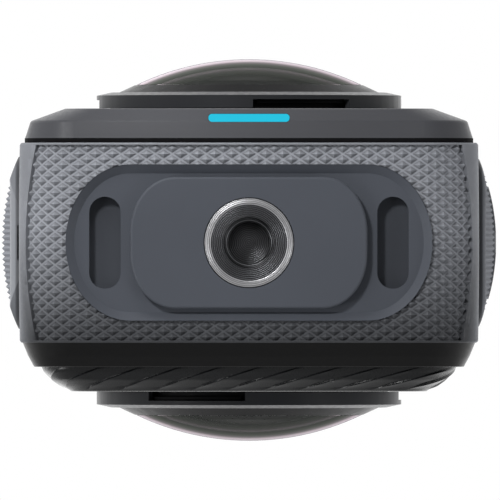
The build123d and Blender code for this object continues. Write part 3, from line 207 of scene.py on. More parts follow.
# A mesh from groups of flat polygons: each gets walls down to a foot, and place maps it onto its surface
def mapped_mesh(name, groups, place, foot, flip=False):
    mesh = bpy.data.meshes.new(name)
    bm = bmesh.new()
    # Each corner's tone: the rubber's share of its lightest colour, lighter where the knurl has painted
    # highlights
    tone_layer = bm.loops.layers.float_color.new("tone")
    for faces, smooth, tones in groups:
        made = {}
        flat = bmesh.new()
        for face in faces:
            corners = []
            for point in face:
                key = tuple(round(c, DIGITS) for c in point)
                if key not in made:
                    made[key] = flat.verts.new(point)
                if made[key] not in corners:
                    corners.append(made[key])
            if len(corners) > 2 and flat.faces.get(corners) is None:
                flat.faces.new(corners)
        bmesh.ops.recalc_face_normals(flat, faces=flat.faces)
        up = sum(f.normal.z * f.calc_area() for f in flat.faces) > 0
        if up == flip:
            bmesh.ops.reverse_faces(flat, faces=flat.faces)
        shades = {f: tones([v.co.z for v in f.verts]) for f in flat.faces}
        for f in flat.faces:
            f.smooth = smooth
        edges = [e for e in flat.edges if e.is_boundary]
        walls = bmesh.ops.extrude_edge_only(flat, edges=edges)["geom"]
        for v in {v for v in walls if isinstance(v, bmesh.types.BMVert)}:
            v.co.z = foot
        for f in {f for f in walls if isinstance(f, bmesh.types.BMFace)}:
            f.smooth = False
            shades[f] = [WALL_TONE for v in f.verts]
        copies = {v: bm.verts.new(Vector(place(*v.co)) * MM) for v in flat.verts}
        for f in flat.faces:
            copy = bm.faces.new([copies[v] for v in f.verts])
            copy.smooth = f.smooth
            for loop, shade in zip(copy.loops, shades[f]):
                loop[tone_layer] = (shade, shade, shade, 1)
        flat.free()
    bmesh.ops.remove_doubles(bm, verts=bm.verts, dist=WELD)
    bm.to_mesh(mesh)
    bm.free()
    mesh.validate()
    return mesh


def add(name, mesh, material, body, slot, *replaced):
    piece = bpy.data.objects.new(name, mesh)
    bpy.context.collection.objects.link(piece)
    mesh.materials.clear()
    mesh.materials.append(material)
    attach(piece, body)
    if replaced:
        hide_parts(*replaced)
    return piece


# A profile of (radius, height) turned round an upright axis; edges over the sharp angle stay hard
def lathe(name, profile, place, steps, sharp):
    mesh = bpy.data.meshes.new(name)
    bm = bmesh.new()
    rings = []
    for radius, height in profile:
        points = [(*point, height) for point in circle_outline(radius, (0, 0), steps)]
        rings.append([bm.verts.new(place @ Vector(point)) for point in points])
    for low, high in zip(rings, rings[1:]):
        for i in range(steps):
            after = (i + 1) % steps
            bm.faces.new((low[i], low[after], high[after], high[i]))
    bmesh.ops.recalc_face_normals(bm, faces=bm.faces)
    for f in bm.faces:
        f.smooth = True
    for e in bm.edges:
        e.smooth = not (e.is_manifold and e.calc_face_angle(0) > math.radians(sharp))
    bm.to_mesh(mesh)
    bm.free()
    mesh.transform(Matrix.Scale(MM, 4))
    return mesh


# Materials, all from nodes
CLOUD_ROUGHNESS = 0.55


def new_material(name):
    material = bpy.data.materials.new(name)
    material.use_nodes = True
    tree = material.node_tree
    shader = tree.nodes["Principled BSDF"]
    return material, tree, shader


def object_place(tree):
    return tree.nodes.new("ShaderNodeTexCoord").outputs["Object"]


def noise(tree, scale, detail, stretch=None):
    where = object_place(tree)
    if stretch:
        mapping = tree.nodes.new("ShaderNodeMapping")
        mapping.inputs["Scale"].default_value = stretch
        tree.links.new(where, mapping.inputs["Vector"])
        where = mapping.outputs["Vector"]
    texture = tree.nodes.new("ShaderNodeTexNoise")
    texture.inputs["Scale"].default_value = scale
    texture.inputs["Detail"].default_value = detail
    texture.inputs["Roughness"].default_value = CLOUD_ROUGHNESS
    tree.links.new(where, texture.inputs["Vector"])
    return texture.outputs["Fac"]


def ranged(tree, value, low, high, start=0.3, end=0.7):
    node = tree.nodes.new("ShaderNodeMapRange")
    node.inputs["From Min"].default_value = start
    node.inputs["From Max"].default_value = end
    node.inputs["To Min"].default_value = low
    node.inputs["To Max"].default_value = high
    tree.links.new(value, node.inputs["Value"])
    return node.outputs["Result"]


def ramp(tree, value, colours):
    node = tree.nodes.new("ShaderNodeValToRGB")
    elements = node.color_ramp.elements
    elements[0].position, elements[0].color = colours[0][0], (*colours[0][1], 1)
    elements[1].position, elements[1].color = colours[-1][0], (*colours[-1][1], 1)
    for position, colour in colours[1:-1]:
        elements.new(position).color = (*colour, 1)
    tree.links.new(value, node.inputs["Fac"])
    return node.outputs["Color"]


def bump(tree, value, distance, strength=0.5):
    node = tree.nodes.new("ShaderNodeBump")
    node.inputs["Strength"].default_value = strength
    node.inputs["Distance"].default_value = distance
    tree.links.new(value, node.inputs["Height"])
    return node.outputs["Normal"]


def scaled(tree, colour, factor):
    node = tree.nodes.new("ShaderNodeVectorMath")
    node.operation = "SCALE"
    tree.links.new(colour, node.inputs["Vector"])
    if isinstance(factor, float):
        node.inputs["Scale"].default_value = factor
    else:
        tree.links.new(factor, node.inputs["Scale"])
    return node.outputs["Vector"]


# The tone on the rubber's corners, lighter where the knurl has painted highlights
def tone_with_painted_highlights(tree):
    node = tree.nodes.new("ShaderNodeAttribute")
    node.attribute_name = "tone"
    return node.outputs["Fac"]


def maths(tree, operation, *values):
    node = tree.nodes.new("ShaderNodeMath")
    node.operation = operation
    for value, socket in zip(values, node.inputs):
        tree.links.new(value, socket)
    return node.outputs["Value"]


def place_of(tree):
    node = tree.nodes.new("ShaderNodeSeparateXYZ")
    tree.links.new(object_place(tree), node.inputs["Vector"])
    return node.outputs


# Painted shade: the band's rubber is painted darker along the front edge of its bottom: Y, then the Z at
# which this ends
FRONT_PAINTED_SHADE = 0.24
FRONT_FADE = (-10.5 * MM, 3 * MM)
FRONT_LIFT = (2 * MM, 7 * MM)


def band_painted_shade(tree):
    where = place_of(tree)
    fade = ranged(tree, where["Y"], FRONT_PAINTED_SHADE, 1.0, *FRONT_FADE)
    lift = ranged(tree, where["Z"], 0.0, 1.0, *FRONT_LIFT)
    return maths(tree, "MULTIPLY", tone_with_painted_highlights(tree), maths(tree, "MAXIMUM", fade, lift))


# Painted shade: the pads are painted darker at their foot, where they stand in the band, for the shadow in
# the gap there
SHADE_TONE = 0.35
SHADE_FADE = (29.65 * MM, 29.85 * MM)


def pad_painted_shade(tree):
    reach = maths(tree, "ABSOLUTE", place_of(tree)["X"])
    return maths(tree, "MULTIPLY", tone_with_painted_highlights(tree), ranged(tree, reach, SHADE_TONE, 1.0, *SHADE_FADE))


# Painted shade: the door is painted darker in the seam at its foot, for the shadow in the gap there
SEAM_PAINTED_SHADE = 0.3
SEAM_FADE = (29.6 * MM, 29.9 * MM)


def seam_painted_shade(tree):
    return ranged(tree, place_of(tree)["X"], SEAM_PAINTED_SHADE, 1.0, *SEAM_FADE)


def moulded(
    name,
    colour,
    roughness,
    spread=0.12,
    grain=1400,
    depth=0.00004,
    cloud=40,
    metallic=0.0,
    stretch=None,
    gloss=0.5,
    tone=None,
):
    material, tree, shader = new_material(name)
    dark = tuple(c * (1 - spread) for c in colour)
    light = tuple(min(1.0, c * (1 + spread)) for c in colour)
    colours = ramp(tree, noise(tree, cloud, 6.0), [(0.3, dark), (0.7, light)])
    # The tone paints light and shade: the knurl's painted highlights, and painted shade at the band's front
    # edge and at the pads' and door's foot
    if tone:
        colours = scaled(tree, colours, tone(tree))
    tree.links.new(colours, shader.inputs["Base Color"])
    fine = noise(tree, grain, 3.0, stretch)
    smear = ranged(tree, fine, roughness * 0.85, min(1.0, roughness * 1.15))
    tree.links.new(smear, shader.inputs["Roughness"])
    tree.links.new(bump(tree, fine, depth), shader.inputs["Normal"])
    shader.inputs["Metallic"].default_value = metallic
    shader.inputs["Specular IOR Level"].default_value = gloss
    return material


# Base colour, roughness, spread of the tone, scale and depth of the grain, scale of the clouds
RUBBER = (0.265, 0.276, 0.302)
SOFT_TOUCH = (0.19, 0.198, 0.215)
rubber = moulded("rubber_grey", RUBBER, 0.62, 0.07, 2600, 0.00003, 60, gloss=0.12, tone=band_painted_shade)
pad_rubber = moulded("rubber_pad", RUBBER, 0.6, 0.07, 2600, 0.00003, 60, gloss=0.12, tone=pad_painted_shade)
door_plastic = moulded("soft_touch", SOFT_TOUCH, 0.5, 0.06, 2200, 0.00002, gloss=0.2, tone=seam_painted_shade)
button_rubber = moulded("button_grey", (0.13, 0.136, 0.148), 0.5, 0.06, 2200, 0.00002, gloss=0.2)
housing_plastic = moulded("housing_black", (0.02, 0.02, 0.022), 0.5, 0.1, 1500, gloss=0.15)
gasket = moulded("gasket_black", (0.004, 0.004, 0.0045), 0.75, 0.1, 1500, gloss=0.03)
cover_plastic = moulded("cover_grey", (0.042, 0.043, 0.048), 0.42, 0.06, 2400, 0.00002, gloss=0.12)
front_plastic = moulded("front_black", (0.0012, 0.0012, 0.0013), 0.36, 0.08, 2400, 0.00001, gloss=0.12)
fascia_metal = moulded("fascia_dark", (0.005, 0.0054, 0.006), 0.28, 0.08, 2000, 0.00001, gloss=0.18)
mount_plastic = moulded("mount_grey", (0.059, 0.0645, 0.077), 0.5, 0.06, 3000, 0.00002, gloss=0.1)
ring_metal = moulded(
    "ring_dark", (0.024, 0.025, 0.0275), 0.36, 0.06, 1800, 0.00001, stretch=(1, 0.05, 1), gloss=0.06
)
mount_metal = moulded("lens_mount_black", (0.004, 0.004, 0.0045), 0.5, 0.1, 1800, 0.00001, gloss=0.03)
bezel_gloss = moulded("bezel_black", (0.003, 0.003, 0.0035), 0.3, 0.05, 900, 0.000002, gloss=0.015)
black_glass = moulded("display_black", (0.004, 0.004, 0.005), 0.08, 0.1, 300, 0.000001)
panel = moulded("panel_black", (0.008, 0.008, 0.01), 0.3, 0.1)
silicon = moulded("sensor", (0.05, 0.035, 0.06), 0.2, 0.2, 600)
board = moulded("board", (0.01, 0.09, 0.04), 0.45, 0.2, 900)
inner_metal = moulded("sheet", (0.5, 0.51, 0.53), 0.35, 0.05, 900, metallic=1.0)
steel = moulded("steel", (0.55, 0.55, 0.56), 0.25, 0.05, 900, metallic=1.0, stretch=(1, 1, 0.1))
keeper_steel = moulded("keeper", (0.045, 0.049, 0.058), 0.5, 0.12, 800, gloss=0.1)
gold = moulded("contact_gold", (0.75, 0.55, 0.2), 0.25, 0.05, 900, metallic=1.0)
wrap = moulded("battery_wrap", (0.03, 0.03, 0.034), 0.5, 0.1)
tab = moulded("pull_tab", (0.05, 0.3, 0.4), 0.4, 0.1)
inner_plastic = moulded("inner_black", (0.01, 0.01, 0.012), 0.55, 0.1)
lamp_plastic = moulded("lamp_dark", (0.02, 0.02, 0.022), 0.25, 0.1)


# Distance from the axis through a point, in metres; flat is 0 along the axis and 1 across it
def distance_from(tree, point, flat):
    where = object_place(tree)
    offset = tree.nodes.new("ShaderNodeVectorMath")
    offset.operation = "SUBTRACT"
    offset.inputs[1].default_value = point
    flatten = tree.nodes.new("ShaderNodeVectorMath")
    flatten.operation = "MULTIPLY"
    flatten.inputs[1].default_value = flat
    length = tree.nodes.new("ShaderNodeVectorMath")
    length.operation = "LENGTH"
    tree.links.new(where, offset.inputs[0])
    tree.links.new(offset.outputs["Vector"], flatten.inputs[0])
    tree.links.new(flatten.outputs["Vector"], length.inputs[0])
    return length.outputs["Value"]


# Colours from the socket's axis outwards, with fine turned ridges. The colours hold painted light and shade:
# the bore, its thread and the countersink are painted darker as painted shade, the throat has a painted
# shadow ring and the rim's inner edge a painted highlight; the ridges are bumped and also painted lighter and
# darker with their wave, as painted highlights.
SOCKET_REACH = 6 * MM
SOCKET_RIDGES = 26


def turned_metal_painted_light():
    material, tree, shader = new_material("turned_steel")
    radius = distance_from(tree, (0, MIDDLE * MM, 0), (1, 1, 0))
    share = ranged(tree, radius, 0.0, 1.0, 0.0, SOCKET_REACH)
    # Painted shade in the bore, the thread and the countersink, a painted shadow at the throat and a painted
    # highlight at the rim's inner edge
    stops = [
        (0.0, (0.07, 0.071, 0.075)),
        (0.5, (0.05, 0.051, 0.054)),
        (0.535, (0.012, 0.012, 0.013)),
        (0.56, (0.045, 0.046, 0.049)),
        (0.8, (0.055, 0.056, 0.06)),
        (0.828, (0.3, 0.3, 0.31)),
        (0.84, (0.12, 0.12, 0.125)),
        (0.86, (0.2, 0.2, 0.206)),
        (1.0, (0.24, 0.24, 0.246)),
    ]
    painted_light_by_radius = ramp(tree, share, stops)
    wave = maths(tree, "SINE", ranged(tree, radius, 0.0, 2 * math.pi * SOCKET_RIDGES, 0.0, SOCKET_REACH))
    # Painted highlights along the ridges, on top of their bump
    ridge_painted_highlight = ranged(tree, wave, 0.75, 1.6, 0.2, 1.0)
    tree.links.new(scaled(tree, painted_light_by_radius, ridge_painted_highlight), shader.inputs["Base Color"])
    fine = noise(tree, 1500, 3.0)
    tree.links.new(ranged(tree, fine, 0.32, 0.44), shader.inputs["Roughness"])
    tree.links.new(bump(tree, wave, 0.00003, 0.6), shader.inputs["Normal"])
    shader.inputs["Metallic"].default_value = 1.0
    return material


turned_steel = turned_metal_painted_light()


# A part painted to glow: its colour comes from emission over a dim base, painted light, as the blue accent
# bar is no lamp
def painted_glow(name, colour, edge, strength):
    material, tree, shader = new_material(name)
    cloud = noise(tree, 220, 2.0)
    colours = ramp(tree, cloud, [(0.25, edge), (0.75, colour)])
    tree.links.new(scaled(tree, colours, 0.06), shader.inputs["Base Color"])
    tree.links.new(colours, shader.inputs["Emission Color"])
    shader.inputs["Emission Strength"].default_value = strength
    shader.inputs["Roughness"].default_value = 0.4
    shader.inputs["Specular IOR Level"].default_value = 0.05
    return material


# The blue accent bar, painted to glow
accent_bar_painted_glow = painted_glow("accent_bar_painted_glow", (0.014, 0.52, 0.72), (0.016, 0.5, 0.7), 0.95)


def view_share(tree):
    node = tree.nodes.new("ShaderNodeLayerWeight")
    node.inputs["Blend"].default_value = 0.5
    return node.outputs["Facing"]


def grey(value):
    return (value, value, value)


# Coated glass: clear when faced; towards its rim its colour holds painted reflections, grey-green and then
# pinkish white, with the coating's dark purple tint at the very rim
def coated_dome_painted_reflection():
    material, tree, shader = new_material("coated_dome_painted_reflection")
    facing = view_share(tree)
    # Painted reflections in the base colour, lighter towards the rim
    stops = [
        (0.5, (0.004, 0.005, 0.0045)),
        (0.66, (0.012, 0.015, 0.012)),
        (0.74, (0.03, 0.035, 0.029)),
        (0.8, (0.1, 0.107, 0.094)),
        (0.84, (0.22, 0.2, 0.205)),
        (0.88, (0.68, 0.58, 0.63)),
        (0.94, (0.85, 0.78, 0.83)),
        (0.958, (0.16, 0.09, 0.15)),
        (1.0, (0.05, 0.03, 0.045)),
    ]
    tree.links.new(ramp(tree, facing, stops), shader.inputs["Base Color"])
    smear = ranged(tree, noise(tree, 60, 5.0), 0.03, 0.06)
    tree.links.new(smear, shader.inputs["Roughness"])
    shader.inputs["Specular IOR Level"].default_value = 0.0
    seen_through = tree.nodes.new("ShaderNodeBsdfTransparent")
    gloss = tree.nodes.new("ShaderNodeBsdfGlossy")
    tree.links.new(smear, gloss.inputs["Roughness"])
    cover = [(0.0, grey(0.2)), (0.6, grey(0.3)), (0.68, grey(0.55)), (0.76, grey(0.96)), (1.0, grey(1))]
    share = ramp(tree, facing, cover)
    body = tree.nodes.new("ShaderNodeMixShader")
    tree.links.new(share, body.inputs["Fac"])
    tree.links.new(seen_through.outputs["BSDF"], body.inputs[1])
    tree.links.new(shader.outputs["BSDF"], body.inputs[2])
    shine = ramp(tree, facing, [(0.0, grey(0.03)), (0.5, grey(0.012)), (1.0, grey(0.015))])
    whole = tree.nodes.new("ShaderNodeMixShader")
    tree.links.new(shine, whole.inputs["Fac"])
    tree.links.new(body.outputs["Shader"], whole.inputs[1])
    tree.links.new(gloss.outputs["BSDF"], whole.inputs[2])
    tree.links.new(whole.outputs["Shader"], tree.nodes["Material Output"].inputs["Surface"])
    return material


# The first lens element, with a painted reflection in its colour: a bright arc towards its silhouette that
# fades outwards
PAINTED_ARC_FADE = (4.6 * MM, 6.5 * MM)
PAINTED_ARC_REST = 0.12


def element_glass_painted_reflection():
    material, tree, shader = new_material("coated_element_painted_reflection")
    facing = view_share(tree)
    stops = [
        (0.0, (0.006, 0.008, 0.007)),
        (0.5, (0.012, 0.015, 0.012)),
        (0.6, (0.06, 0.035, 0.026)),
        (0.8, (0.16, 0.08, 0.055)),
        (0.88, (0.4, 0.22, 0.15)),
        (0.93, (1.0, 0.86, 0.76)),
        (1.0, (1.0, 0.9, 0.82)),
    ]
    # Painted reflection: dark when faced, reddish brown, then white towards the silhouette
    painted_reflection = ramp(tree, facing, stops)
    radius = distance_from(tree, (0, 0, LENS_HEIGHT * MM), (1, 0, 1))
    dimming = ranged(tree, radius, 1.0, PAINTED_ARC_REST, *PAINTED_ARC_FADE)
    tree.links.new(scaled(tree, painted_reflection, dimming), shader.inputs["Base Color"])
    smear = ranged(tree, noise(tree, 80, 5.0), 0.03, 0.08)
    tree.links.new(smear, shader.inputs["Roughness"])
    shader.inputs["Specular IOR Level"].default_value = 0.15
    shader.inputs["Coat Weight"].default_value = 0.1
    shader.inputs["Coat Roughness"].default_value = 0.02
    return material


clear = coated_dome_painted_reflection()
element = element_glass_painted_reflection()

finish = {
    "grip_rubber": rubber,
    "pad_rubber": pad_rubber,
    "door_plastic": door_plastic,
    "button_rubber": button_rubber,
    "housing_plastic": housing_plastic,
    "gasket_rubber": gasket,
    "cover_plastic": cover_plastic,
    "front_plastic": front_plastic,
    "fascia_metal": fascia_metal,
    "mount_plastic": mount_plastic,
    "insert_steel": turned_steel,
    "keeper_steel": keeper_steel,
    "lens_mount_metal": mount_metal,
    "ring_metal": ring_metal,
    "bezel_gloss": bezel_gloss,
    "clear_glass": clear,
    "display_black_glass": black_glass,
    "display_panel": panel,
    "light_bar_blue": accent_bar_painted_glow,
    "lamp_plastic": lamp_plastic,
    "board_green": board,
    "sensor_silicon": silicon,
    "inner_metal": inner_metal,
    "steel": steel,
    "gold_contact": gold,
    "battery_wrap": wrap,
    "tab_plastic": tab,
    "inner_plastic": inner_plastic,
}
# Nodes whose look differs from that of their slot
special = {"rear_fisheye_element": element, "front_fisheye_element": element, "speaker": gasket}
for subpart in frame["record"]["subparts"]:
    node = nodes[subpart["node"]]
    chosen = special.get(subpart["node"], finish[subpart["material_slot"]])
    for material_slot in node.material_slots:
        material_slot.material = chosen


# Rubber band: flat pattern coordinates are the length round the body, from the bottom's middle, and Y
TEXTURE_REACH = 31
TEXTURE_EDGE = 28.4
TEXTURE_BOW = 1.3
BORDER = 0.3
LIP = 0.12
LIP_DROP = 0.25
STEP = 0.9
ROWS = 14

# Its openings
DISH_LENGTH = 46.7
DISH_WIDTH = 19.9
DISH_CORNER = 8.25
DISH_CORNER_ALONG_Y = 9.9
PAD_OPENING = (47.7, 22.7, 7.35)
NOTCH_START = 10.65
NOTCH_LENGTH = 3.7
NOTCH_HALF_WIDTH = 9.49
SHUTTER_RADIUS = 7.4
LAMP_OPENING = (6.1, 1.7, 0.849)
LAMP_OFFSET = 9.0
MICROPHONE_PLACE = 18
MICROPHONE_RADIUS = 0.5

FLAT = HALF_WIDTH - CORNER
ARC = CORNER * math.pi / 2
SIDE = BAND_TOP - BAND_BOTTOM - 2 * CORNER
ROUND = 4 * FLAT + 4 * ARC + 2 * SIDE
PAD_S = FLAT + ARC + PAD_CENTRE - BAND_BOTTOM - CORNER


def band_place(s, y, h):
    s = s % ROUND
    mirrored = s > ROUND / 2
    if mirrored:
        s = ROUND - s
    out = h - CROWN_INSET * ((y - MIDDLE) / BAND_HALF_DEPTH) ** 2
    if s <= FLAT:
        x, z = s, BAND_BOTTOM - out
    elif s <= FLAT + ARC:
        a = (s - FLAT) / CORNER
        reach = CORNER + out
        x, z = FLAT + reach * math.sin(a), BAND_BOTTOM + CORNER - reach * math.cos(a)
    elif s <= FLAT + ARC + SIDE:
        x, z = HALF_WIDTH + out, BAND_BOTTOM + CORNER + s - FLAT - ARC
    elif s <= FLAT + 2 * ARC + SIDE:
        a = (s - FLAT - ARC - SIDE) / CORNER
        reach = CORNER + out
        x, z = FLAT + reach * math.cos(a), BAND_TOP - CORNER + reach * math.sin(a)
    else:
        x, z = ROUND / 2 - s, BAND_TOP + out
    return (-x if mirrored else x, y, z)


def edge_of_texture(y):
    x = TEXTURE_EDGE - TEXTURE_BOW * ((y - MIDDLE) / BAND_HALF_DEPTH) ** 2
    return FLAT + CORNER * math.asin((x - FLAT) / CORNER)


def across_band(steps):
    return [BAND_FRONT + BORDER + (BAND_REAR - BAND_FRONT - 2 * BORDER) * i / steps for i in range(steps + 1)]


def texture_zone(centre):
    ys = across_band(16)
    right = [(centre + edge_of_texture(y), y) for y in ys]
    left = [(centre - edge_of_texture(y), y) for y in reversed(ys)]
    return right + left


def make_grip_skin():
    top = ROUND / 2
    seam = -ROUND / 4
    holes = [rounded_outline(DISH_LENGTH, DISH_WIDTH, DISH_CORNER, (0, MIDDLE), 24, DISH_CORNER_ALONG_Y)]
    for s in (PAD_S, -PAD_S, ROUND - PAD_S):
        holes.append(rounded_outline(*PAD_OPENING, (s, MIDDLE), 16))
    start = PAD_S - PAD_CENTRE + NOTCH_START
    end = start + NOTCH_LENGTH
    front, rear = MIDDLE - NOTCH_HALF_WIDTH, MIDDLE + NOTCH_HALF_WIDTH
    holes.append([(start, front), (end, front), (end, rear), (start, rear)])
    holes.append(circle_outline(SHUTTER_RADIUS, (top, MIDDLE), 64))
    holes.append(rounded_outline(*LAMP_OPENING, (top, MIDDLE - LAMP_OFFSET), 8))
    for x in (-MICROPHONE_PLACE, MICROPHONE_PLACE):
        holes.append(circle_outline(MICROPHONE_RADIUS, (top + x, MIDDLE), 20))
    hole_planes = [half_planes(hole) for hole in holes]
    zones = [half_planes(texture_zone(0)), half_planes(texture_zone(top))]

    s_stops = [seam]
    while s_stops[-1] < seam + ROUND - TINY:
        s_stops.append(min(seam + ROUND, s_stops[-1] + STEP))
    y_stops = [BAND_FRONT, BAND_FRONT + LIP, *across_band(ROWS), BAND_REAR - LIP, BAND_REAR]
    plain = tiles(s_stops, y_stops)
    for planes in zones + hole_planes:
        plain = outside(plain, planes)
    knurl = []
    for centre, planes in zip((0, top), zones):
        left, right = centre - TEXTURE_REACH, centre + TEXTURE_REACH
        cells = diamonds(left, right, BAND_FRONT, BAND_REAR, CELL_LENGTH, CELL_DEPTH, (centre, MIDDLE))
        kept = [piece for piece in (inside(cell, planes) for cell in cells) if piece]
        for planes in hole_planes:
            kept = outside(kept, planes)
        knurl += kept

    def place(s, y, h):
        edge = min(y - BAND_FRONT, BAND_REAR - y)
        if h > -SKIN and edge < BORDER:
            h -= LIP_DROP * (1 - edge / BORDER) ** 2
        return band_place(s, y, h)

    groups = [(knurl, False, knurl_painted_highlights), (plain, True, even_tones)]
    mesh = mapped_mesh("grip_rubber", groups, place, -SKIN)
    return add("grip_rubber", mesh, rubber, "camera", "grip_rubber", "grip_skin")


# Pads: flat coordinates are Y and Z, heights stand out along X from the crown
PAD_WIDTH = 22
PAD_LENGTH = 47
PAD_CORNER = 7
PAD_REACH_Y = 11
PAD_REACH_Z = 24
CURVE_ACROSS = 27
CURVE_ALONG = 190
CROWN_POWER = 4

# Insets from the pad's outline, and growths of the opening in it, each with the drop below the crown
PAD_RIM = [(0, 0.35), (0.06, 0.2), (0.16, 0.08), (0.35, 0), (0.4, 0)]
OPENING_LIP = [(0.15, 0.2), (0.22, 0.06), (0.35, 0), (0.6, 0)]

MODE_LENGTH = 14.5
MODE_WIDTH = 6
MODE_CORNER = 2.999
MODE_HEIGHT = 40
FRAME_WIDTH = 9.04
FRAME_CORNER = 2.0
FRAME_HEIGHT = 49.6
DOOR_PAD_LOW = 12.5
DOOR_PAD_INSET = 0.6


def crown_reach(crown, y, z):
    across = CURVE_ACROSS - math.sqrt(CURVE_ACROSS**2 - (y - MIDDLE) ** 2)
    along = CURVE_ALONG - math.sqrt(CURVE_ALONG**2 - (z - PAD_CENTRE) ** 2)
    return crown - (across**CROWN_POWER + along**CROWN_POWER) ** (1 / CROWN_POWER)


def grown(width, height, corner, centre, steps, growth):
    return rounded_outline(width + 2 * growth, height + 2 * growth, corner + growth, centre, steps)


def mode_opening(growth):
    return grown(MODE_LENGTH, MODE_WIDTH, MODE_CORNER, (MIDDLE, MODE_HEIGHT), 14, growth)


def latch_opening(growth):
    return grown(FRAME_WIDTH, FRAME_WIDTH, FRAME_CORNER, (MIDDLE, FRAME_HEIGHT), 8, growth)


def side_ring(growth):
    return grown(PAD_WIDTH, PAD_LENGTH, PAD_CORNER, (MIDDLE, PAD_CENTRE), 14, growth)


def door_ring(growth):
    return [(y, max(z, DOOR_PAD_LOW - growth)) for y, z in side_ring(growth - DOOR_PAD_INSET)]


def make_pad(name, side, crown, foot, ring, opening, body, node):
    rings = [ring(-inset) for inset, drop in PAD_RIM]
    rim = strips(rings, [-drop for inset, drop in PAD_RIM])
    zone = half_planes(rings[-1])
    front, rear = MIDDLE - PAD_REACH_Y, MIDDLE + PAD_REACH_Y
    low, high = PAD_CENTRE - PAD_REACH_Z, PAD_CENTRE + PAD_REACH_Z
    cells = diamonds(front, rear, low, high, CELL_DEPTH, CELL_LENGTH, (MIDDLE, PAD_CENTRE))
    knurl = [piece for piece in (inside(cell, zone) for cell in cells) if piece]
    lip_rings = [opening(growth) for growth, drop in OPENING_LIP]
    knurl = outside(knurl, half_planes(lip_rings[-1]))
    lip_faces = strips(lip_rings, [-drop for growth, drop in OPENING_LIP])
    groups = [(rim, True, even_tones), (lip_faces, True, even_tones), (knurl, False, knurl_painted_highlights)]

    def place(y, z, h):
        reach = foot if h == PAD_FOOT else crown_reach(crown, y, z) + h
        return (side * reach, y, z)

    mesh = mapped_mesh(name, groups, place, PAD_FOOT, flip=side < 0)
    return add(name, mesh, pad_rubber, body, "pad_rubber", node)


make_grip_skin()
make_pad("side_pad_rubber", -1, 31.6, 27.8, side_ring, mode_opening, "camera", "side_pad")
make_pad("door_pad_rubber", 1, 31.75, 28.9, door_ring, latch_opening, "door", "door_pad")


# Slanted ribs on the fascia's bevel. u runs round it, t from its base at 0 to the face at 1
FASCIA_BASE = (-14.87, 2.85, 2.85, 5.0)
FASCIA_HALFWAY = (-16.435, 4.425, 3.275, 4.3)
FASCIA_FACE = (-18.0, 6.7, 4.4, 3.6)
HALF_HEIGHT = (BAND_TOP - BAND_BOTTOM) / 2
MID_HEIGHT = (BAND_TOP + BAND_BOTTOM) / 2
RIB_COUNT = 44
RIB_SLANT = 10.4
RIB_HEIGHT = 0.24
RIB_CLEARANCE = 0.012
RIB_FADE_LOW = 0.12
RIB_FADE_HIGH = 0.2
RIB_SHARP = 24

# Rows across the bevel, as t, and one rib from side to side: share of its pitch and of its height
RIB_ROWS = [0.02, 0.06, 0.1] + [0.1 + 0.74 * i / 14 for i in range(1, 15)] + [0.88, 0.92]
RIB_PROFILE = [(0.0, 0.0), (0.3, 0.14), (0.55, 0.36), (0.75, 0.64), (0.88, 0.92), (0.93, 1.0), (0.985, 0.1)]


def bevel_at(t):
    if t < 0.5:
        low, high, share = FASCIA_BASE, FASCIA_HALFWAY, 2 * t
    else:
        low, high, share = FASCIA_HALFWAY, FASCIA_FACE, 2 * t - 1
    return [a + (b - a) * share for a, b in zip(low, high)]


def bevel_sides(t):
    y, inset_x, inset_z, corner = bevel_at(t)
    return y, HALF_WIDTH - inset_x - corner, HALF_HEIGHT - inset_z - corner, corner


RIB_FLAT, RIB_SIDE, RIB_CORNER = bevel_sides(0)[1:]
RIB_ARC = RIB_CORNER * math.pi / 2
RIB_ROUND = 4 * RIB_FLAT + 4 * RIB_SIDE + 4 * RIB_ARC


def bevel_place(u, t, lift):
    y, flat, upright, corner = bevel_sides(t)
    u = u % RIB_ROUND
    lengths = [2 * RIB_FLAT, RIB_ARC, 2 * RIB_SIDE, RIB_ARC] * 2
    for index, length in enumerate(lengths):
        if u <= length:
            break
        u -= length
    share = u / length
    quarter = index // 2
    centre = [(1, -1), (1, 1), (-1, 1), (-1, -1)][quarter]
    if index % 2:
        angle = math.radians(90 * (quarter - 1) + 90 * share)
        x, z = centre[0] * flat, centre[1] * upright
    else:
        angle = math.radians(90 * (quarter - 1))
        before = [(-1, -1), (1, -1), (1, 1), (-1, 1)][quarter]
        x = (before[0] + (centre[0] - before[0]) * share) * flat
        z = (before[1] + (centre[1] - before[1]) * share) * upright
    nx, nz = math.cos(angle), math.sin(angle)
    inwards = (FASCIA_FACE[1] - FASCIA_BASE[1]) * nx**2 + (FASCIA_FACE[2] - FASCIA_BASE[2]) * nz**2
    deep = FASCIA_BASE[0] - FASCIA_FACE[0]
    slope = math.hypot(inwards, deep)
    reach = corner + lift * deep / slope
    return (x + nx * reach, y - lift * inwards / slope, MID_HEIGHT + z + nz * reach)


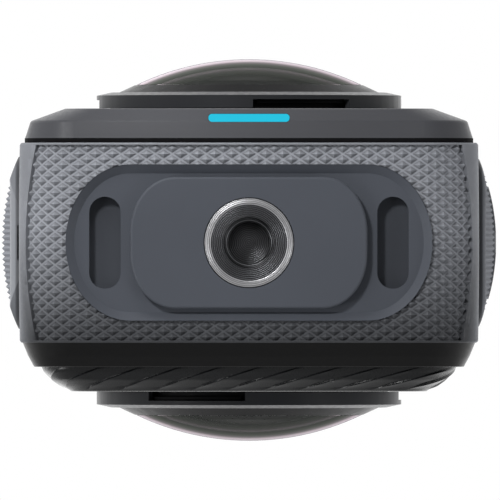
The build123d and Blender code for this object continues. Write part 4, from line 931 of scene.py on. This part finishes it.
def make_fascia_ribs():
    pitch = RIB_ROUND / RIB_COUNT
    mesh = bpy.data.meshes.new("fascia_ribs")
    bm = bmesh.new()
    grid = []
    for i in range(RIB_COUNT):
        for phase, height in RIB_PROFILE:
            column = []
            for t in RIB_ROWS:
                fade = min(1, (t - RIB_ROWS[0]) / RIB_FADE_LOW, (RIB_ROWS[-1] - t) / RIB_FADE_HIGH)
                lift = RIB_CLEARANCE + RIB_HEIGHT * height * max(0, fade)
                point = bevel_place((i + phase) * pitch + RIB_SLANT * t, t, lift)
                column.append(bm.verts.new(Vector(point) * MM))
            grid.append(column)
    for left, right in zip(grid, grid[1:] + grid[:1]):
        for j in range(len(RIB_ROWS) - 1):
            face = bm.faces.new((left[j], right[j], right[j + 1], left[j + 1]))
            face.smooth = True
    bmesh.ops.recalc_face_normals(bm, faces=bm.faces)
    outwards = sum(f.normal.y * f.calc_area() for f in bm.faces)
    if outwards > 0:
        bmesh.ops.reverse_faces(bm, faces=bm.faces)
    for edge in bm.edges:
        edge.smooth = edge.is_manifold and edge.calc_face_angle(0) < math.radians(RIB_SHARP)
    bm.to_mesh(mesh)
    bm.free()
    return add("fascia_ribs", mesh, fascia_metal, "camera", "fascia_metal")


make_fascia_ribs()


# Turned tripod socket: its rim, the stepped countersink and the thread, in radii and heights
SOCKET_RIM = [(5.77, 1.1), (5.77, 0.24), (5.72, 0.17), (5.45, 0.05), (5.05, 0.0), (4.98, 0.02), (4.93, 0.1)]
SOCKET_THROAT = [(3.22, 1.12), (3.18, 1.2)]
SINK_OUTER = 4.9
SINK_INNER = 3.3
SINK_TOP = 0.12
SINK_SLOPE = 0.62
SINK_STEPS = 7
SINK_SHARP = 20
THREAD_RADIUS = 3.17
THREAD_DEPTH = 0.55
THREAD_PITCH = 1.27
THREAD_LOW = 1.2
THREAD_HIGH = 6.3
THREAD_FLAT = 0.12
THREAD_RUN_IN = 0.5


def make_socket():
    profile = list(SOCKET_RIM)
    step = (SINK_OUTER - SINK_INNER) / SINK_STEPS
    for i in range(SINK_STEPS):
        r = SINK_OUTER - step * i
        z = SINK_TOP + step * i * SINK_SLOPE
        profile += [(r - step * 0.2, z), (r - step * 0.3, z + step * 0.6), (r - step * 0.95, z + step * 0.5)]
    profile += SOCKET_THROAT
    place = Matrix.Translation((0, MIDDLE, 0))
    mesh = lathe("socket_face", profile, place, 192, SINK_SHARP)
    steps, length = 96, THREAD_HIGH - THREAD_LOW
    count = int(length / (THREAD_PITCH / 12))
    bm = bmesh.new()
    bm.from_mesh(mesh)
    columns = []
    for i in range(steps):
        angle = 2 * math.pi * i / steps
        column = []
        for j in range(count + 1):
            z = THREAD_LOW + length * j / count
            phase = (z / THREAD_PITCH - i / steps) % 1
            depth = (1 - abs(2 * phase - 1) - THREAD_FLAT) / (1 - 2 * THREAD_FLAT)
            run_in = min(1, (z - THREAD_LOW) / THREAD_RUN_IN)
            r = THREAD_RADIUS - THREAD_DEPTH * min(1, max(0, depth)) * run_in
            point = Vector((r * math.cos(angle), MIDDLE + r * math.sin(angle), z)) * MM
            column.append(bm.verts.new(point))
        columns.append(column)
    centre = bm.verts.new(Vector((0, MIDDLE, THREAD_HIGH)) * MM)
    for i in range(steps):
        for j in range(count):
            a, b = columns[i - 1][j], columns[i][j]
            c, d = columns[i][j + 1], columns[i - 1][j + 1]
            bm.faces.new((a, b, c, d)).smooth = True
        bm.faces.new((columns[i - 1][-1], columns[i][-1], centre)).smooth = True
    bmesh.ops.recalc_face_normals(bm, faces=bm.faces)
    bm.to_mesh(mesh)
    bm.free()
    return add("tripod_socket", mesh, turned_steel, "camera", "insert_steel", "tripod_insert")


make_socket()


# Floor, light and camera, in metres
FLOOR_SIZE = 3.0
FLOOR_GAP = 0.0003
FLOOR_COLOUR = (0.86, 0.86, 0.86, 1)
SKY_COLOUR = (0.97, 0.98, 1.0, 1)
SKY_STRENGTH = 0.15
HALF_FIELD = math.radians(0.64)
HALF_FRAME = 31.97 * MM
VIEW_X = -0.13 * MM
VIEW_HEIGHT = 0.020


def make_floor():
    mesh = bpy.data.meshes.new("floor")
    bm = bmesh.new()
    bmesh.ops.create_grid(bm, x_segments=8, y_segments=8, size=FLOOR_SIZE)
    bm.to_mesh(mesh)
    bm.free()
    floor = bpy.data.objects.new("floor", mesh)
    bpy.context.collection.objects.link(floor)
    floor.location.z = -FLOOR_GAP
    material, tree, shader = new_material("floor")
    tree.nodes.remove(shader)
    output = tree.nodes["Material Output"]
    diffuse = tree.nodes.new("ShaderNodeBsdfDiffuse")
    diffuse.inputs["Color"].default_value = FLOOR_COLOUR
    unseen = tree.nodes.new("ShaderNodeBsdfTransparent")
    path = tree.nodes.new("ShaderNodeLightPath")
    geometry = tree.nodes.new("ShaderNodeNewGeometry")
    from_above = maths(tree, "SUBTRACT", path.outputs["Is Camera Ray"], geometry.outputs["Backfacing"])
    from_above.node.use_clamp = True
    mix = tree.nodes.new("ShaderNodeMixShader")
    tree.links.new(from_above, mix.inputs["Fac"])
    tree.links.new(unseen.outputs["BSDF"], mix.inputs[1])
    tree.links.new(diffuse.outputs["BSDF"], mix.inputs[2])
    tree.links.new(mix.outputs["Shader"], output.inputs["Surface"])
    mesh.materials.append(material)


def make_world():
    world = bpy.data.worlds.new("studio")
    bpy.context.scene.world = world
    world.use_nodes = True
    tree = world.node_tree
    seen = tree.nodes.new("ShaderNodeBackground")
    seen.inputs["Color"].default_value = (1, 1, 1, 1)
    light = tree.nodes["Background"]
    light.inputs["Color"].default_value = SKY_COLOUR
    light.inputs["Strength"].default_value = SKY_STRENGTH
    path = tree.nodes.new("ShaderNodeLightPath")
    shown = path.outputs["Is Camera Ray"]
    for kind in ("Is Glossy Ray", "Is Transmission Ray"):
        shown = maths(tree, "MAXIMUM", shown, path.outputs[kind])
    mix = tree.nodes.new("ShaderNodeMixShader")
    tree.links.new(shown, mix.inputs["Fac"])
    tree.links.new(light.outputs["Background"], mix.inputs[1])
    tree.links.new(seen.outputs["Background"], mix.inputs[2])
    tree.links.new(mix.outputs["Shader"], tree.nodes["World Output"].inputs["Surface"])


def softbox(name, place, size, watts, target=(0, 0, 0.03)):
    lamp = bpy.data.lights.new(name, "AREA")
    lamp.shape = "RECTANGLE"
    lamp.size, lamp.size_y = size
    lamp.energy = watts
    holder = bpy.data.objects.new(name, lamp)
    bpy.context.collection.objects.link(holder)
    holder.location = place
    aim = Vector(target) - Vector(place)
    holder.rotation_euler = aim.to_track_quat("-Z", "Y").to_euler()
    holder.visible_camera = False


def make_camera():
    camera = bpy.data.cameras.new("camera")
    camera.sensor_width = 36
    camera.lens = camera.sensor_width / 2 / math.tan(HALF_FIELD)
    camera.clip_start, camera.clip_end = 0.1, 10
    holder = bpy.data.objects.new("view", camera)
    bpy.context.collection.objects.link(holder)
    holder.rotation_euler = (0, math.pi, 0)
    holder.location = (VIEW_X, 0.0, VIEW_HEIGHT - HALF_FRAME / math.tan(HALF_FIELD))
    bpy.context.scene.camera = holder


make_floor()
make_world()
softbox("key", (0.13, 0.17, -0.24), (0.05, 0.05), 0.78, (0, 0, 0))
softbox("edge", (0.014, 0.038, -0.014), (0.014, 0.014), 0.006, (0, 0.006, 0))
softbox("left_low", (0.36, -0.1, -0.22), (0.1, 0.2), 0.7, (0, 0, 0))
softbox("right_low", (-0.36, -0.1, -0.22), (0.1, 0.2), 0.42, (0, 0, 0))
softbox("left", (0.6, 0.1, 0.1), (0.9, 0.9), 2.6)
softbox("right", (-0.6, 0.05, 0.1), (0.9, 0.9), 2.2)
softbox("above", (0, 0, 0.75), (1.3, 1.3), 5.0)
softbox("back", (0.1, 0.65, 0.2), (0.9, 0.9), 2.2)
softbox("front", (-0.1, -0.65, 0.2), (0.9, 0.9), 2.4)
make_camera()
bpy.context.scene.view_settings.view_transform = "Standard"
